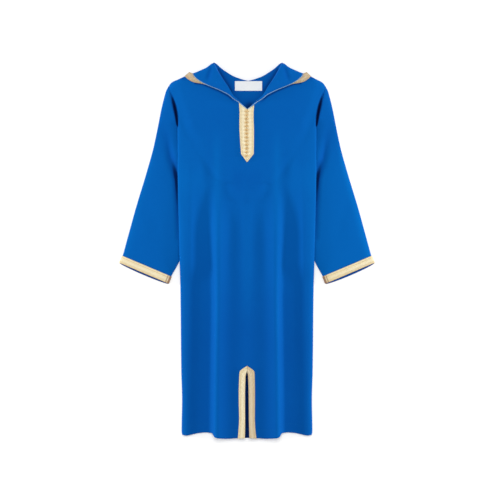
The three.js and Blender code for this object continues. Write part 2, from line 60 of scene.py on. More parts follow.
CLOTH = 0.0015  # the wall of the solids' cloth, which the layers are stacked by
SEAM = 0.0003  # the gap between two layers
BRAID = 0.0012
BRAID_GAP = 0.0004  # from the cloth up to the braid that is sewn on it
LAYER = CLOTH + SEAM
CREPE_THICKNESS = 0.0011  # the crepe as it shows
HOOD_SWELL = 0.6  # the hidden hood's half width is this power of the height above its tip
WELD = 1e7  # points that agree in whole tenths of a micrometre are one


class Side(Enum):
    """Which side of the garment a piece is on, as seen from above."""

    LEFT = -1
    RIGHT = 1

    @property
    def word(self) -> str:
        """The side's name as the pieces' names hold it."""
        return self.name.lower()


class Slot(Enum):
    """The record's material slots."""

    CREPE = "crepe"
    BRAID = "braid"
    KNOT = "knot"
    LABEL = "label"


def lerp(a: Array, b: Array, t: Array) -> Array:
    """The value a share t of the way from a to b."""
    return a + (b - a) * t


def smoothstep(value: Array, low: float, high: float) -> Array:
    """0 below low and 1 above high, with an S-shaped rise between them."""
    t = np.clip((value - low) / (high - low), 0, 1)
    return t * t * (3 - 2 * t)


def round_edge(distance: Array, radius: float) -> Array:
    """A quarter circle's rise: 0 at an edge and 1 from radius inwards."""
    share = 1 - np.clip(distance / radius, 0, 1)
    return np.sqrt(1 - share * share)


def bell(offset: Array, width: Array) -> Array:
    """1 where the offset is 0, and falling away on both sides of it as far as the width says."""
    return np.exp(-((offset / width) ** 2))


def from_ends(v: Array) -> Array:
    """How far a share is from the nearer of 0 and 1."""
    return np.minimum(v, 1 - v)


def crowded(count: int) -> Array:
    """Shares from 0 to 1, closest together at both ends, as a cosine spaces them."""
    return 0.5 - 0.5 * np.cos(np.linspace(0, math.pi, count))


def grid(*values: Array) -> Array:
    """Points from their coordinates, spread to one grid."""
    return np.stack(np.broadcast_arrays(*values), axis=-1)


def tube_rise(v: Array) -> Array:
    """The height of a flattened tube across its width: 0 at both folds, 1 over the middle."""
    return np.cbrt(np.maximum(0, 1 - np.abs(2 * v - 1) ** 3))


@dataclass(frozen=True)
class Line:
    """A smooth line through a few measured places that never overshoots them.

    Between two places it is a cubic. Its slope at a place is the harmonic mean of the chords beside
    it, or 0 where they turn.
    """

    at: tuple[float, ...]
    value: tuple[float, ...]

    def __call__(self, place: Array) -> Array:
        """The line's value at each place, held at its ends.

        Args:
            place: any places, also past the ends.

        Returns:
            The value there.
        """
        x, y = np.array(self.at), np.array(self.value)
        if x[0] > x[-1]:
            x, y = x[::-1], y[::-1]
        chord = np.diff(y) / np.diff(x)
        slope = np.concatenate([chord[:1], np.zeros(len(x) - 2), chord[-1:]])
        before, after = chord[:-1], chord[1:]
        same = before * after > 0
        slope[1:-1] = np.where(same, 2 * before * after / np.where(same, before + after, 1), 0)
        p = np.clip(place, x[0], x[-1])
        k = np.clip(np.searchsorted(x, p) - 1, 0, len(chord) - 1)
        span = x[k + 1] - x[k]
        t = (p - x[k]) / span
        bend = span * t * (1 - t) * ((1 - t) * slope[k] - t * slope[k + 1])
        return lerp(y[k], y[k + 1], t * t * (3 - 2 * t)) + bend


def through(values: tuple[float, ...], s: Array, step: float = 1.0) -> Array:
    """The smooth line through values that lie a step apart, at s."""
    return Line(tuple(number * step for number in range(len(values))), values)(s)


@dataclass(frozen=True)
class Crease:
    """A soft ridge, or a trough where height is below 0, along a straight run of the cloth."""

    start: tuple[float, float]
    end: tuple[float, float]
    width: float
    height: float

    def lift(self, x: Array, y: Array) -> Array:
        """A bell across the run, which dies away softly at both of its ends.

        Args:
            x: places across the garment.
            y: places up it, towards the neck.

        Returns:
            How far the cloth is raised there.
        """
        ax, ay = self.start
        dx, dy = self.end[0] - ax, self.end[1] - ay
        length = math.hypot(dx, dy)
        along = ((x - ax) * dx + (y - ay) * dy) / length**2
        across = ((x - ax) * dy - (y - ay) * dx) / length
        ends = smoothstep(along, -0.2, 0.3) * (1 - smoothstep(along, 0.7, 1.2))
        return self.height * bell(across, self.width) * ends


@dataclass(frozen=True)
class Bend:
    """A ridge or trough that follows a bent run through the cloth, with its own size at each point."""

    x: tuple[float, ...]
    y: tuple[float, ...]
    width: tuple[float, ...]
    height: tuple[float, ...]

    def lift(self, x: Array, y: Array) -> Array:
        """A bell across the nearest place of the run, as wide and as high as its points say there.

        Args:
            x: places across the garment.
            y: places up it, towards the neck.

        Returns:
            How far the cloth is raised there.
        """
        along, away = nearest(self.x, self.y, x, y)
        place = range(len(self.x))
        return np.interp(along, place, self.height) * bell(away, np.interp(along, place, self.width))


def nearest(run_x: tuple[float, ...], run_y: tuple[float, ...], x: Array, y: Array) -> tuple[Array, Array]:
    """The nearest place on a run of straight lines.

    Args:
        run_x: the run's points across.
        run_y: the run's points up.
        x: places across the garment.
        y: places up it, towards the neck.

    Returns:
        The place, as the number of its line plus the share along it, and the distance from it.
    """
    best, place = np.full(np.shape(x), 9.0), np.zeros(np.shape(x))
    for number, (ax, ay, bx, by) in enumerate(zip(run_x, run_y, run_x[1:], run_y[1:])):
        run = (x - ax) * (bx - ax) + (y - ay) * (by - ay)
        share = np.clip(run / math.dist((ax, ay), (bx, by)) ** 2, 0, 1)
        away = np.hypot(x - lerp(ax, bx, share), y - lerp(ay, by, share))
        place = np.where(away < best, number + share, place)
        best = np.minimum(best, away)
    return place, best


def threaded(run_x: tuple[float, ...], run_y: tuple[float, ...], x: Array, y: Array) -> Array:
    """UV of a braid whose threads follow a run of straight lines.

    Args:
        run_x: the run's points across.
        run_y: the run's points up.
        x: places across the garment.
        y: places up it, towards the neck.

    Returns:
        For each point, the length along the nearest line, past its ends too, and the distance from it.
    """
    along, best, start = np.zeros(x.shape), np.full(x.shape, 9.0), 0.0
    for ax, ay, bx, by in zip(run_x, run_y, run_x[1:], run_y[1:]):
        length = math.dist((ax, ay), (bx, by))
        run = ((x - ax) * (bx - ax) + (y - ay) * (by - ay)) / length
        share = np.clip(run / length, 0, 1)
        away = np.hypot(x - lerp(ax, bx, share), y - lerp(ay, by, share))
        along = np.where(away < best, start + run, along)
        best = np.minimum(best, away)
        start += length
    return grid(along, best)


def creased(creases: tuple[Crease | Bend, ...], x: Array, y: Array) -> Array:
    """The sum of the creases' lifts."""
    return sum((crease.lift(x, y) for crease in creases), np.zeros_like(x))


@dataclass(frozen=True)
class Lay:
    """How the garment lies: the outlines of its panels and the height of each layer."""

    shoulder: tuple[float, float] = (0.1955, 0.410)
    armpit: tuple[float, float] = (0.1745, 0.311)
    neck_point: tuple[float, float] = (0.078, 0.455)
    neck_bottom: float = 0.353
    placket_end: float = 0.237
    slit_top: float = -0.301
    placket_gap: float = 0.0005
    hood_tip: float = 0.165
    hood_side: tuple[float, float] = (0.150, 0.430)
    hood_lift: float = 0.0056
    sleeve_lift: float = 0.0072
    armhole_height: float = 0.009
    neck_lean: float = 0.0025
    groove_depth: float = 0.0075
    groove_shade: float = 7.0
    groove_bottom: float = 0.304
    groove_length: float = 0.102
    groove_bow: float = 0.0036
    side_edge: Line = Line(
        (0.311, 0.2, 0.0, -0.1, -0.3, -0.374, -0.45, -0.462),
        (0.1745, 0.173, 0.1688, 0.166, 0.1638, 0.1618, 0.163, 0.1615),
    )
    neck_edge: Line = Line(
        (0.353, 0.3735, 0.396, 0.406, 0.436, 0.455), (0.0006, 0.0208, 0.0455, 0.0525, 0.0702, 0.078)
    )
    hem_slit: Line = Line((-0.47, -0.425, -0.322, -0.309, -0.301), (0.0058, 0.0048, 0.0042, 0.0034, 0.0))
    shoulder_line: Line = Line(
        (0.078, 0.092, 0.104, 0.125, 0.14, 0.154, 0.164, 0.174, 0.1854, 0.1915, 0.1955),
        (0.455, 0.455, 0.4505, 0.4415, 0.4375, 0.4355, 0.4313, 0.4263, 0.4213, 0.4163, 0.41),
    )
    hem_line: Line = Line(
        (0, 0.03, 0.048, 0.072, 0.081, 0.087, 0.103, 0.123, 0.134, 0.152, 0.162),
        (-0.468, -0.4688, -0.47, -0.4688, -0.466, -0.4565, -0.4545, -0.4563, -0.4588, -0.462, -0.46),
    )
    back_neck: Line = Line(
        (0, 0.0088, 0.0255, 0.0375, 0.0538, 0.0678, 0.0788, 0.0848),
        (0.424, 0.426, 0.4313, 0.4363, 0.4463, 0.4563, 0.4663, 0.47),
    )
    hood_brow: Line = Line(
        (0.0848, 0.091, 0.104, 0.115, 0.126, 0.1388), (0.47, 0.4663, 0.4563, 0.4513, 0.4463, 0.4415)
    )
    rows_middle: tuple[float, ...] = (0.455, 0.353, 0.237, 0.05, -0.301, -0.44, -0.468)
    rows_side: tuple[float, ...] = (0.410, 0.311, 0.215, 0.05, -0.301, -0.438, -0.46)
    front_creases: tuple[Crease, ...] = (
        Crease((0.036, 0.10), (0.050, -0.08), 0.016, -0.0010),
        Crease((-0.045, 0.09), (-0.052, -0.04), 0.015, -0.0011),
        Crease((0.15, 0.30), (0.10, 0.36), 0.014, 0.0007),
        Crease((-0.15, 0.30), (-0.1, 0.355), 0.015, 0.0006),
        Crease((0.002, 0.2), (0.004, -0.1), 0.010, 0.0012),
        Crease((-0.11, -0.2), (-0.108, -0.43), 0.009, -0.0006),
        Crease((0.135, -0.16), (0.13, -0.40), 0.01, 0.0007),
    )
    roll_line: tuple[tuple[float, ...], tuple[float, ...]] = (
        (0.0006, 0.02, 0.036, 0.0422, 0.0478, 0.0566, 0.0662, 0.0748, 0.08, 0.084),
        (0.353, 0.3735, 0.387, 0.397, 0.407, 0.421, 0.436, 0.451, 0.4615, 0.469),
    )
    free_edge: tuple[tuple[float, ...], tuple[float, ...]] = (
        (0.028, 0.0393, 0.0489, 0.0716, 0.0964, 0.1135, 0.132),
        (0.3692, 0.3769, 0.3853, 0.3975, 0.4079, 0.4149, 0.4176),
    )

    def lean(self, x: Array, y: Array) -> Array:
        """How far a point is moved across, because the neck leans to one side."""
        return self.neck_lean * smoothstep(y, 0.32, 0.4) * (1 - smoothstep(np.abs(x), 0.14, 0.19))

    def layers_beneath(self, x: Array, y: Array) -> Array:
        """Height of the back's underside: it rides up over the folded hood and over the sleeves.

        Args:
            x: places across the garment.
            y: places up it, towards the neck.

        Returns:
            The height there.
        """
        across = np.abs(x)
        share = np.clip((y - self.hood_tip) / (self.hood_side[1] - self.hood_tip), 0, 1)
        past_side = across - self.hood_side[0] * share**HOOD_SWELL
        past_tip = np.hypot(across, np.maximum(0, self.hood_tip - y))
        past = np.where(y > self.hood_tip, past_side, past_tip)
        hood = self.hood_lift * (1 - smoothstep(past, 0.02, 0.058))
        reach = (1 - smoothstep(y, 0.2, 0.325)) * smoothstep(y, -0.09, -0.026)
        return hood + self.sleeve_lift * smoothstep(across, 0.09, 0.15) * reach

    def half_width(self, y: Array) -> Array:
        """Half the width of the body: the straight armhole seam, then the side seam.

        Args:
            y: places up it, towards the neck.

        Returns:
            The distance from the middle line to the edge.
        """
        (ax, ay), (sx, sy) = self.armpit, self.shoulder
        armhole = lerp(ax, sx, (y - ay) / (sy - ay))
        return np.where(y >= ay, armhole, self.side_edge(y))

    def armhole_top(self, y: Array) -> Array:
        """Height of the sleeve's top layer along the armhole seam."""
        share = (self.shoulder[1] - y) / (self.shoulder[1] - self.armpit[1])
        return self.armhole_height * tube_rise(np.clip(share, 0, 1))

    def armhole_groove(self, x: Array, y: Array) -> Array:
        """The sharp crease along the armhole, from 0 outside it to 1 at its bottom.

        A bell across a line that bows in from the seam, widest and deepest halfway up.

        Args:
            x: places across the garment.
            y: places up it, towards the neck.

        Returns:
            Shares of the crease's depth.
        """
        share = np.clip((y - self.groove_bottom) / self.groove_length, 0, 1)
        swell = np.sin(share * math.pi)
        square = 0.978  # a distance in x, taken square to the leaning seam
        across = (np.abs(x) - self.half_width(y) + self.groove_bow * swell) * square
        run = smoothstep(share, 0.0, 0.12) * (1 - smoothstep(share, 0.5, 1.0))
        width = 0.0015 + 0.0023 * swell
        return run * bell(across, width)

    def spread(self, y: Array) -> Array:
        """How the long folds draw together on their way up, as a share of their distance at the hem."""
        return lerp(1, 0.94, smoothstep(y, -0.47, 0.05))

    def folds(self, x: Array, y: Array) -> Array:
        """How far the front stands off the back.

        The middle panel is a step of 7 mm with a sharper crest along its edge, and a lower fold runs
        up each side. All of them widen and die away towards the chest, where the front lies softly lofted.

        Args:
            x: places across the garment.
            y: places up it, towards the neck.

        Returns:
            The loft there, over the front lying flat on the back.
        """
        across, spread = np.abs(x), self.spread(y)
        fade = 1 - smoothstep(y, 0.03, 0.22)
        wide = smoothstep(y, -0.14, 0.1)
        height = 0.007 * (1 - smoothstep((across / spread - 0.070) / (0.025 + 0.018 * wide), 0, 1))
        for place, inward, outward, tall in (
            (0.004, 0.017, 0.017, 0.002),
            (0.079, 0.020, 0.008 + 0.010 * wide, 0.008),
            (0.152, 0.012, 0.03, 0.0045),
        ):
            offset = across - place * spread
            width = np.where(offset < 0, inward, outward)
            height = height + tall * bell(offset, width)
        return lerp(0.0006, 0.004, smoothstep(y, 0.1, 0.3)) + fade * height

    def front_top(self, x: Array, y: Array, fine: bool = False) -> Array:
        """Height of the front's outer face, with its creases where fine is true.

        Args:
            x: places across the garment.
            y: places up it, towards the neck.
            fine: whether the creases are in it, too.

        Returns:
            The height there.
        """
        across = np.abs(x)
        at_seam = np.where(y > self.armpit[1], np.maximum(0, self.armhole_top(y) - CLOTH - LAYER), 0)
        side = round_edge(self.half_width(y) - across, 0.014)
        shoulder = round_edge(self.shoulder_line(across) - y, 0.016)
        shoulder = lerp(1, shoulder, smoothstep(across, 0.125, 0.165))
        loft = self.folds(x, y)
        if fine:
            loft = np.maximum(0.0003, loft + creased(self.front_creases, x, y))
        relief = lerp(at_seam, loft, side) * shoulder
        if fine:
            relief = np.maximum(0, relief - self.groove_depth * self.armhole_groove(x, y))
        return self.layers_beneath(x, y) + CLOTH + LAYER + relief

    def paleness(self, x: Array, y: Array) -> Array:
        """Painted light and shade on the front's cloth, as the mark pale in MARKS says.

        Painted highlights run along the fold crests and the side edges, and painted shade lies in the
        hollows between them, more so towards the hem. The painted shade is deepest under the hood's
        free edge, at the shoulder's corner and in the armhole's crease.

        Args:
            x: places across the garment.
            y: places up it, towards the neck.

        Returns:
            The mark pale, with its painted light and shade.
        """
        across, spread = np.abs(x), self.spread(y)
        chest_up, shoulder = smoothstep(y, 0.08, 0.2), smoothstep(y, 0.24, 0.33)
        low = 1 - smoothstep(y, -0.25, 0.12)
        # painted highlights: crest and ridge on the fold crests, side at the side edges, middle on the middle
        # fold, chest on the chest
        crest = bell(across / spread - 0.080, 0.013) * (1 - smoothstep(y, 0.33, 0.42)) * (1 - shoulder)
        ridge = bell(across / spread - 0.0785, 0.0055) * (1 - smoothstep(y, -0.16, -0.03))
        side = smoothstep(across, 0.132, 0.168) * lerp(1, 0.35, smoothstep(y, 0.05, 0.2))
        middle = bell(across - 0.002, 0.012) * smoothstep(y, -0.2, -0.1) * (1 - smoothstep(y, 0.02, 0.13))
        hollow = bell(y - 0.178, 0.032) * (1 - smoothstep(across, 0.026, 0.044))
        chest = smoothstep(across, 0.085, 0.12) * (chest_up + bell(y - 0.175, 0.045)) * (1 - shoulder)
        # painted shade: low darkens the cloth towards the hem, hollow along the middle below the buttoned
        # slit
        pale = 0.9 * np.maximum(crest, side) + 0.55 * ridge + 0.5 * middle + lerp(0.15, -0.8, low)
        pale = pale + 0.4 * chest - 0.5 * hollow
        # painted shadow under the hood's free edge and at the shoulder's corner, painted shade in the
        # armhole's crease
        _, away = nearest(*self.free_edge, across, y)
        shade = 2.7 * bell(away, 0.003) * smoothstep(across, 0.02, 0.046)
        corner = 2.4 * bell(np.hypot(across - 0.160, y - 0.4305), 0.0045)
        return pale - shade - corner - self.groove_shade * self.armhole_groove(x, y)

    def neck_paleness(self, x: Array, y: Array) -> Array:
        """Painted shade on the back's cloth: darker beside the hood's roll, at the neck's point and in the
        slit.

        Args:
            x: places across the garment.
            y: places up it, towards the neck.

        Returns:
            The mark pale.
        """
        across = np.abs(x)
        # painted shade beside the hood's roll, at the neck's point and inside the hem slit
        _, away = nearest(*self.roll_line, across, y)
        rolled = 0.85 * bell(away, 0.0105) * lerp(0.3, 1, smoothstep(y, 0.384, 0.402))
        point = 1.15 * bell(np.hypot(x - 0.006, y - self.neck_bottom - 0.004), 0.020)
        slit = 1 - smoothstep(across, 0.006, 0.02)
        slit = slit * (1 - smoothstep(y, self.slit_top - 0.02, self.slit_top + 0.02))
        return 0.1 - 2.6 * np.maximum(np.maximum(rolled, point), 1.3 * slit)

    def middle_gap(self, y: Array) -> Array:
        """Half the width of the neck opening, the buttoned slit or the hem slit.

        Args:
            y: places up it, towards the neck.

        Returns:
            The distance from the middle line to the front's edge.
        """
        slit = np.where(y > self.placket_end, self.placket_gap, 0)
        slit = np.where(y < self.slit_top, self.hem_slit(y), slit)
        return np.where(y >= self.neck_bottom, self.neck_edge(y), slit)


LAY = Lay()


# Numbers that the finishes read at each point of a piece, and what they are where a piece gives none:
# how far the point is from a hemmed edge, in metres, and pale, the light and shade painted on the cloth,
# from a painted highlight of about 2 on a crest through 0, its own tone, down to painted shade of -7 in a
# sharp crease
MARKS = {"hem": 1.0, "pale": 0.0}


@dataclass
class Shell:
    """A closed shell gathered from patches, each a grid of outer and inner points.

    Points that two patches share are welded, and every open edge is closed by a wall with a rounded
    middle line, so a fold or a cut edge reads as cloth.
    """

    name: str
    bulge: float = 0.0003
    outers: list[Array] = field(default_factory=list)
    inners: list[Array] = field(default_factory=list)
    uvs: list[Array] = field(default_factory=list)
    cells: list[Array] = field(default_factory=list)
    marks: dict[str, list[Array]] = field(default_factory=lambda: {name: [] for name in MARKS})
    count: int = 0

    def patch(self, outer: Array, inner: Array, uv: Array | None = None, **marks: Array) -> None:
        """Adds a grid of points.

        Args:
            outer: rows by columns by 3, the face that shows.
            inner: the same grid on the hidden face.
            uv: rows by columns by 2, in metres along and across the piece.
            marks: values for some of MARKS, rows by columns.
        """
        rows, columns = outer.shape[:2]
        index = self.count + np.arange(rows * columns).reshape(rows, columns)
        quads = np.stack([index[:-1, :-1], index[1:, :-1], index[1:, 1:], index[:-1, 1:]], axis=-1)
        self.cells.append(quads.reshape(-1, 4))
        self.outers.append(outer.reshape(-1, 3))
        self.inners.append(inner.reshape(-1, 3))
        self.uvs.append(np.zeros((rows * columns, 2)) if uv is None else uv.reshape(-1, 2))
        for name, usual in MARKS.items():
            self.marks[name].append(np.broadcast_to(marks.get(name, usual), (rows, columns)).reshape(-1))
        self.count += rows * columns

    def build(self, side: Side = Side.RIGHT) -> Object:
        """Welds the patches, closes the edges and makes the object, mirrored for the left side.

        Args:
            side: the side it is for. A piece on both sides is built as the right one.

        Returns:
            The new object, at the origin, with a UV map named "cloth".
        """
        outer, inner = np.concatenate(self.outers), np.concatenate(self.inners)
        for points in (outer, inner):
            points[:, 0] = side.value * points[:, 0]
            points[:, 0] += LAY.lean(points[:, 0], points[:, 1])
        uv = np.concatenate(self.uvs)
        quads = np.concatenate(self.cells)
        corners = np.concatenate([quads[:, [0, 1, 2]], quads[:, [0, 2, 3]]])
        keys = np.round(np.hstack([outer, inner]) * WELD).astype(np.int64)
        _, first, welded = np.unique(keys, axis=0, return_index=True, return_inverse=True)
        welded = welded.reshape(-1)
        outer, inner = outer[first], inner[first]
        faces = welded[corners]
        patch = np.tile(np.repeat(np.arange(len(self.cells)), [len(cells) for cells in self.cells]), 2)
        whole = self._whole(faces)
        faces, corners, patch = faces[whole], corners[whole], patch[whole]
        a, b, c = (outer[faces[:, n]] for n in range(3))
        outward = (outer - inner)[faces].sum(axis=1)
        facing = np.bincount(patch, (np.cross(b - a, c - a) * outward).sum(axis=1))
        turned = facing[patch] < 0
        faces[turned] = faces[turned][:, ::-1]
        corners[turned] = corners[turned][:, ::-1]
        points, triangles, texture, used = self._closed(outer, inner, faces, uv[corners])
        made = new_object(f"sewn_{self.name}", points, triangles, texture)
        for name, values in self.marks.items():
            mark = np.tile(np.concatenate(values)[first], 3)[used]
            stored = made.data.attributes.new(name, "FLOAT", "POINT").data
            stored.foreach_set("value", mark.astype(np.float32))
        return made

    def _whole(self, faces: Array) -> Array:
        """Which triangles have three different corners."""
        return (faces[:, 0] != faces[:, 1]) & (faces[:, 1] != faces[:, 2]) & (faces[:, 2] != faces[:, 0])

    def _closed(
        self, outer: Array, inner: Array, faces: Array, uv: Array
    ) -> tuple[Array, Array, Array, Array]:
        """Adds the inner faces and the walls along the open edges, and says which points are used.

        Points in one place are welded, so a wall runs out where the shell thins to nothing at its rim.

        Args:
            outer: the outer points.
            inner: the inner points.
            faces: the outer triangles.
            uv: UV of their corners.

        Returns:
            Points, triangles, UV of their corners, and the number each point had before.
        """
        size = len(outer)
        shut = np.linalg.norm(outer - inner, axis=1, keepdims=True) < 1 / WELD
        inner = np.where(shut, outer, inner)
        pairs = ([0, 1], [1, 2], [2, 0])
        edges = np.concatenate([faces[:, pair] for pair in pairs])
        edge_uv = np.concatenate([uv[:, pair] for pair in pairs])
        open_edge = ~np.isin(edges[:, 0] * size + edges[:, 1], edges[:, 1] * size + edges[:, 0])
        edges, edge_uv = edges[open_edge], edge_uv[open_edge]
        across = (outer - inner)[edges].sum(axis=1)
        away = np.cross(outer[edges[:, 1]] - outer[edges[:, 0]], across)
        push = np.zeros_like(outer)
        np.add.at(push, edges[:, 0], away)
        np.add.at(push, edges[:, 1], away)
        push /= np.maximum(np.linalg.norm(push, axis=1, keepdims=True), 1e-12)
        middle = np.where(shut, outer, (outer + inner) / 2 + self.bulge * push)
        i, j = edges[:, 0], edges[:, 1]
        inner_i, inner_j, mid_i, mid_j = i + size, j + size, i + 2 * size, j + 2 * size
        walls = [
            grid(i, mid_i, mid_j),
            grid(i, mid_j, j),
            grid(mid_i, inner_i, inner_j),
            grid(mid_i, inner_j, mid_j),
        ]
        wall_uv = [edge_uv[:, [0, 0, 1]], edge_uv[:, [0, 1, 1]]] * 2
        triangles = np.concatenate([faces, faces[:, ::-1] + size, *walls])
        texture = np.concatenate([uv, uv[:, ::-1], *wall_uv])
        points = np.concatenate([outer, inner, middle])
        keys = np.round(points * WELD).astype(np.int64)
        _, first, same = np.unique(keys, axis=0, return_index=True, return_inverse=True)
        triangles = first[same.reshape(-1)][triangles]
        _, number, count = np.unique(np.sort(triangles), axis=0, return_inverse=True, return_counts=True)
        whole = self._whole(triangles) & (count[number.reshape(-1)] == 1)
        used, triangles = np.unique(triangles[whole], return_inverse=True)
        return points[used], triangles.reshape(-1, 3), texture[whole], used


def new_object(name: str, points: Array, triangles: Array, uv: Array | None = None) -> Object:
    """A smooth-shaded mesh object in the scene.

    Args:
        name: the piece's name.
        points: one row per vertex, in metres.
        triangles: one row of three vertex numbers per face.
        uv: faces by 3 corners by 2, or None.

    Returns:
        The object, at the origin.
    """
    mesh = bpy.data.meshes.new(name)
    mesh.vertices.add(len(points))
    mesh.vertices.foreach_set("co", points.astype(np.float32).ravel())
    mesh.loops.add(triangles.size)
    mesh.loops.foreach_set("vertex_index", triangles.astype(np.int32).ravel())
    mesh.polygons.add(len(triangles))
    mesh.polygons.foreach_set("loop_start", np.arange(0, triangles.size, 3, dtype=np.int32))
    mesh.update(calc_edges=True)
    if uv is not None:
        layer = mesh.uv_layers.new(name="cloth")
        layer.data.foreach_set("uv", uv.astype(np.float32).ravel())
    mesh.shade_smooth()
    mesh.validate()
    made = bpy.data.objects.new(name, mesh)
    bpy.context.scene.collection.objects.link(made)
    return made


def place(made: Object, slot: Slot, material: Material, *nodes: str) -> Object:
    """Dresses a piece, puts it on the garment's one body and lets it stand for its CAD nodes.

    Args:
        made: the piece.
        slot: its slot in the record; not used.
        material: what it is dressed in.
        nodes: the CAD nodes that it stands for.

    Returns:
        The same piece.
    """
    made.data.materials.append(material)
    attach(made, "root")
    if nodes:
        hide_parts(*nodes)
    LOG.info("%s: %d faces", made.name, len(made.data.polygons))
    return made


def spaced(stops: tuple[float, ...], step: float) -> Array:
    """Places from the first stop to the last, about step apart, that hit every stop.

    Args:
        stops: places that have to be hit.
        step: about how far apart the others are.

    Returns:
        The places.
    """
    runs = [
        np.linspace(a, b, max(2, math.ceil(abs(b - a) / step) + 1))[:-1] for a, b in zip(stops, stops[1:])
    ]
    return np.concatenate([*runs, [stops[-1]]])


def walled(outer: Array, thickness: float) -> Array:
    """The hidden face of a bent sheet: its outer grid moved in, square to the sheet, by its thickness.

    Args:
        outer: rows by columns by 3.
        thickness: the sheet's thickness.

    Returns:
        The inner grid.
    """
    rows, columns = np.gradient(outer, axis=0), np.gradient(outer, axis=1)
    across = np.cross(rows, columns)
    across /= np.maximum(np.linalg.norm(across, axis=-1, keepdims=True), 1e-12)
    across *= np.where(across[..., 2].mean() < 0, -1, 1)
    return outer - thickness * across


@dataclass
class Body:
    """The front and back panels of the garment."""

    row_step: float = 0.0043
    neck_row_step: float = 0.0024
    columns: int = 84
    back_row_step: float = 0.007
    back_columns: int = 141
    hem_reach: tuple[float, float] = (0.0059, 0.1615)  # from the slit to the side seam

    def _levels(self, step: float, neck_step: float) -> tuple[Array, Array]:
        """Heights of the rows at the middle line and at the side edge, as columns of numbers.

        Args:
            step: how far apart the rows are.
            neck_step: the same beside the neck opening.

        Returns:
            Both heights.
        """
        neck, rest = spaced(LAY.rows_middle[:2], neck_step), spaced(LAY.rows_middle[1:], step)
        middle = np.concatenate([neck, rest[1:]])
        side = np.interp(middle, LAY.rows_middle[::-1], LAY.rows_side[::-1])
        return middle[:, None], side[:, None]

    def _bows(self, middle: Array, u: Array, top: Array) -> Array:
        """How far a row bends from straight: towards the shoulder line above, the hem line below.

        Args:
            middle: height of each row at the middle line.
            u: share of the way out to the side edge.
            top: the top edge's height above the straight line between its two ends.

        Returns:
            How far the row is raised there.
        """
        neck = np.clip((middle - LAY.neck_bottom) / (LAY.neck_point[1] - LAY.neck_bottom), 0, 1)
        last_y, hem_y = LAY.rows_middle[-2:]
        hem = np.clip((last_y - middle) / (last_y - hem_y), 0, 1) ** 1.6
        hem_bow = LAY.hem_line(lerp(*self.hem_reach, u)) - lerp(hem_y, LAY.rows_side[-1], u)
        return neck**1.8 * top + hem * hem_bow

    def _above_hem(self, x: Array, y: Array) -> Array:
        """How far a point is above the hem's edge."""
        return y - LAY.hem_line(np.abs(x))

    def front_half(self) -> tuple[Array, Array]:
        """Plan points of the front's right half, row by row from the shoulder to the hem.

        Returns:
            x and y, rows by columns.
        """
        middle, side = self._levels(self.row_step, self.neck_row_step)
        u = np.linspace(0, 1, self.columns)[None, :]
        x = lerp(LAY.middle_gap(middle), LAY.half_width(side), u)
        (nx, ny), (sx, sy) = LAY.neck_point, LAY.shoulder
        top = LAY.shoulder_line(lerp(nx, sx, u)) - lerp(ny, sy, u)
        return x, lerp(middle, side, u) + self._bows(middle, u, top)

    def back_whole(self) -> tuple[Array, Array]:
        """Plan points of the whole back, whose top edge follows the neckline and the shoulders.

        Returns:
            x and y, rows by columns.
        """
        middle, side = self._levels(self.back_row_step, self.neck_row_step)
        u = np.linspace(-1, 1, self.back_columns)[None, :]
        x = LAY.half_width(side) * u
        across = np.abs(u) * LAY.shoulder[0]
        neckline = np.minimum(LAY.neck_point[1], LAY.back_neck(across) - 0.001)
        edge = np.where(across < LAY.neck_point[0], neckline, LAY.shoulder_line(across))
        top = edge - lerp(LAY.neck_point[1], LAY.shoulder[1], np.abs(u))
        return x, lerp(middle, side, np.abs(u)) + self._bows(middle, np.abs(u), top)

    def build(self, crepe: Material) -> None:
        """Makes and dresses the front and the back.

        Args:
            crepe: the cloth.
        """
        shell = Shell("front")
        x, y = self.front_half()
        z = LAY.front_top(x, y, fine=True)
        for sign in (-1, 1):
            outer = grid(sign * x, y, z)
            inner = outer - (0, 0, CREPE_THICKNESS)
            shell.patch(outer, inner, outer[..., :2], hem=self._above_hem(x, y), pale=LAY.paleness(x, y))
        front = place(shell.build(), Slot.CREPE, crepe, "front")
        shell = Shell("back")
        x, y = self.back_whole()
        outer = grid(x, y, LAY.layers_beneath(x, y) + CREPE_THICKNESS)
        inner = outer - (0, 0, CREPE_THICKNESS)
        shell.patch(outer, inner, outer[..., :2], hem=self._above_hem(x, y), pale=LAY.neck_paleness(x, y))
        back = place(shell.build(), Slot.CREPE, crepe, "back")


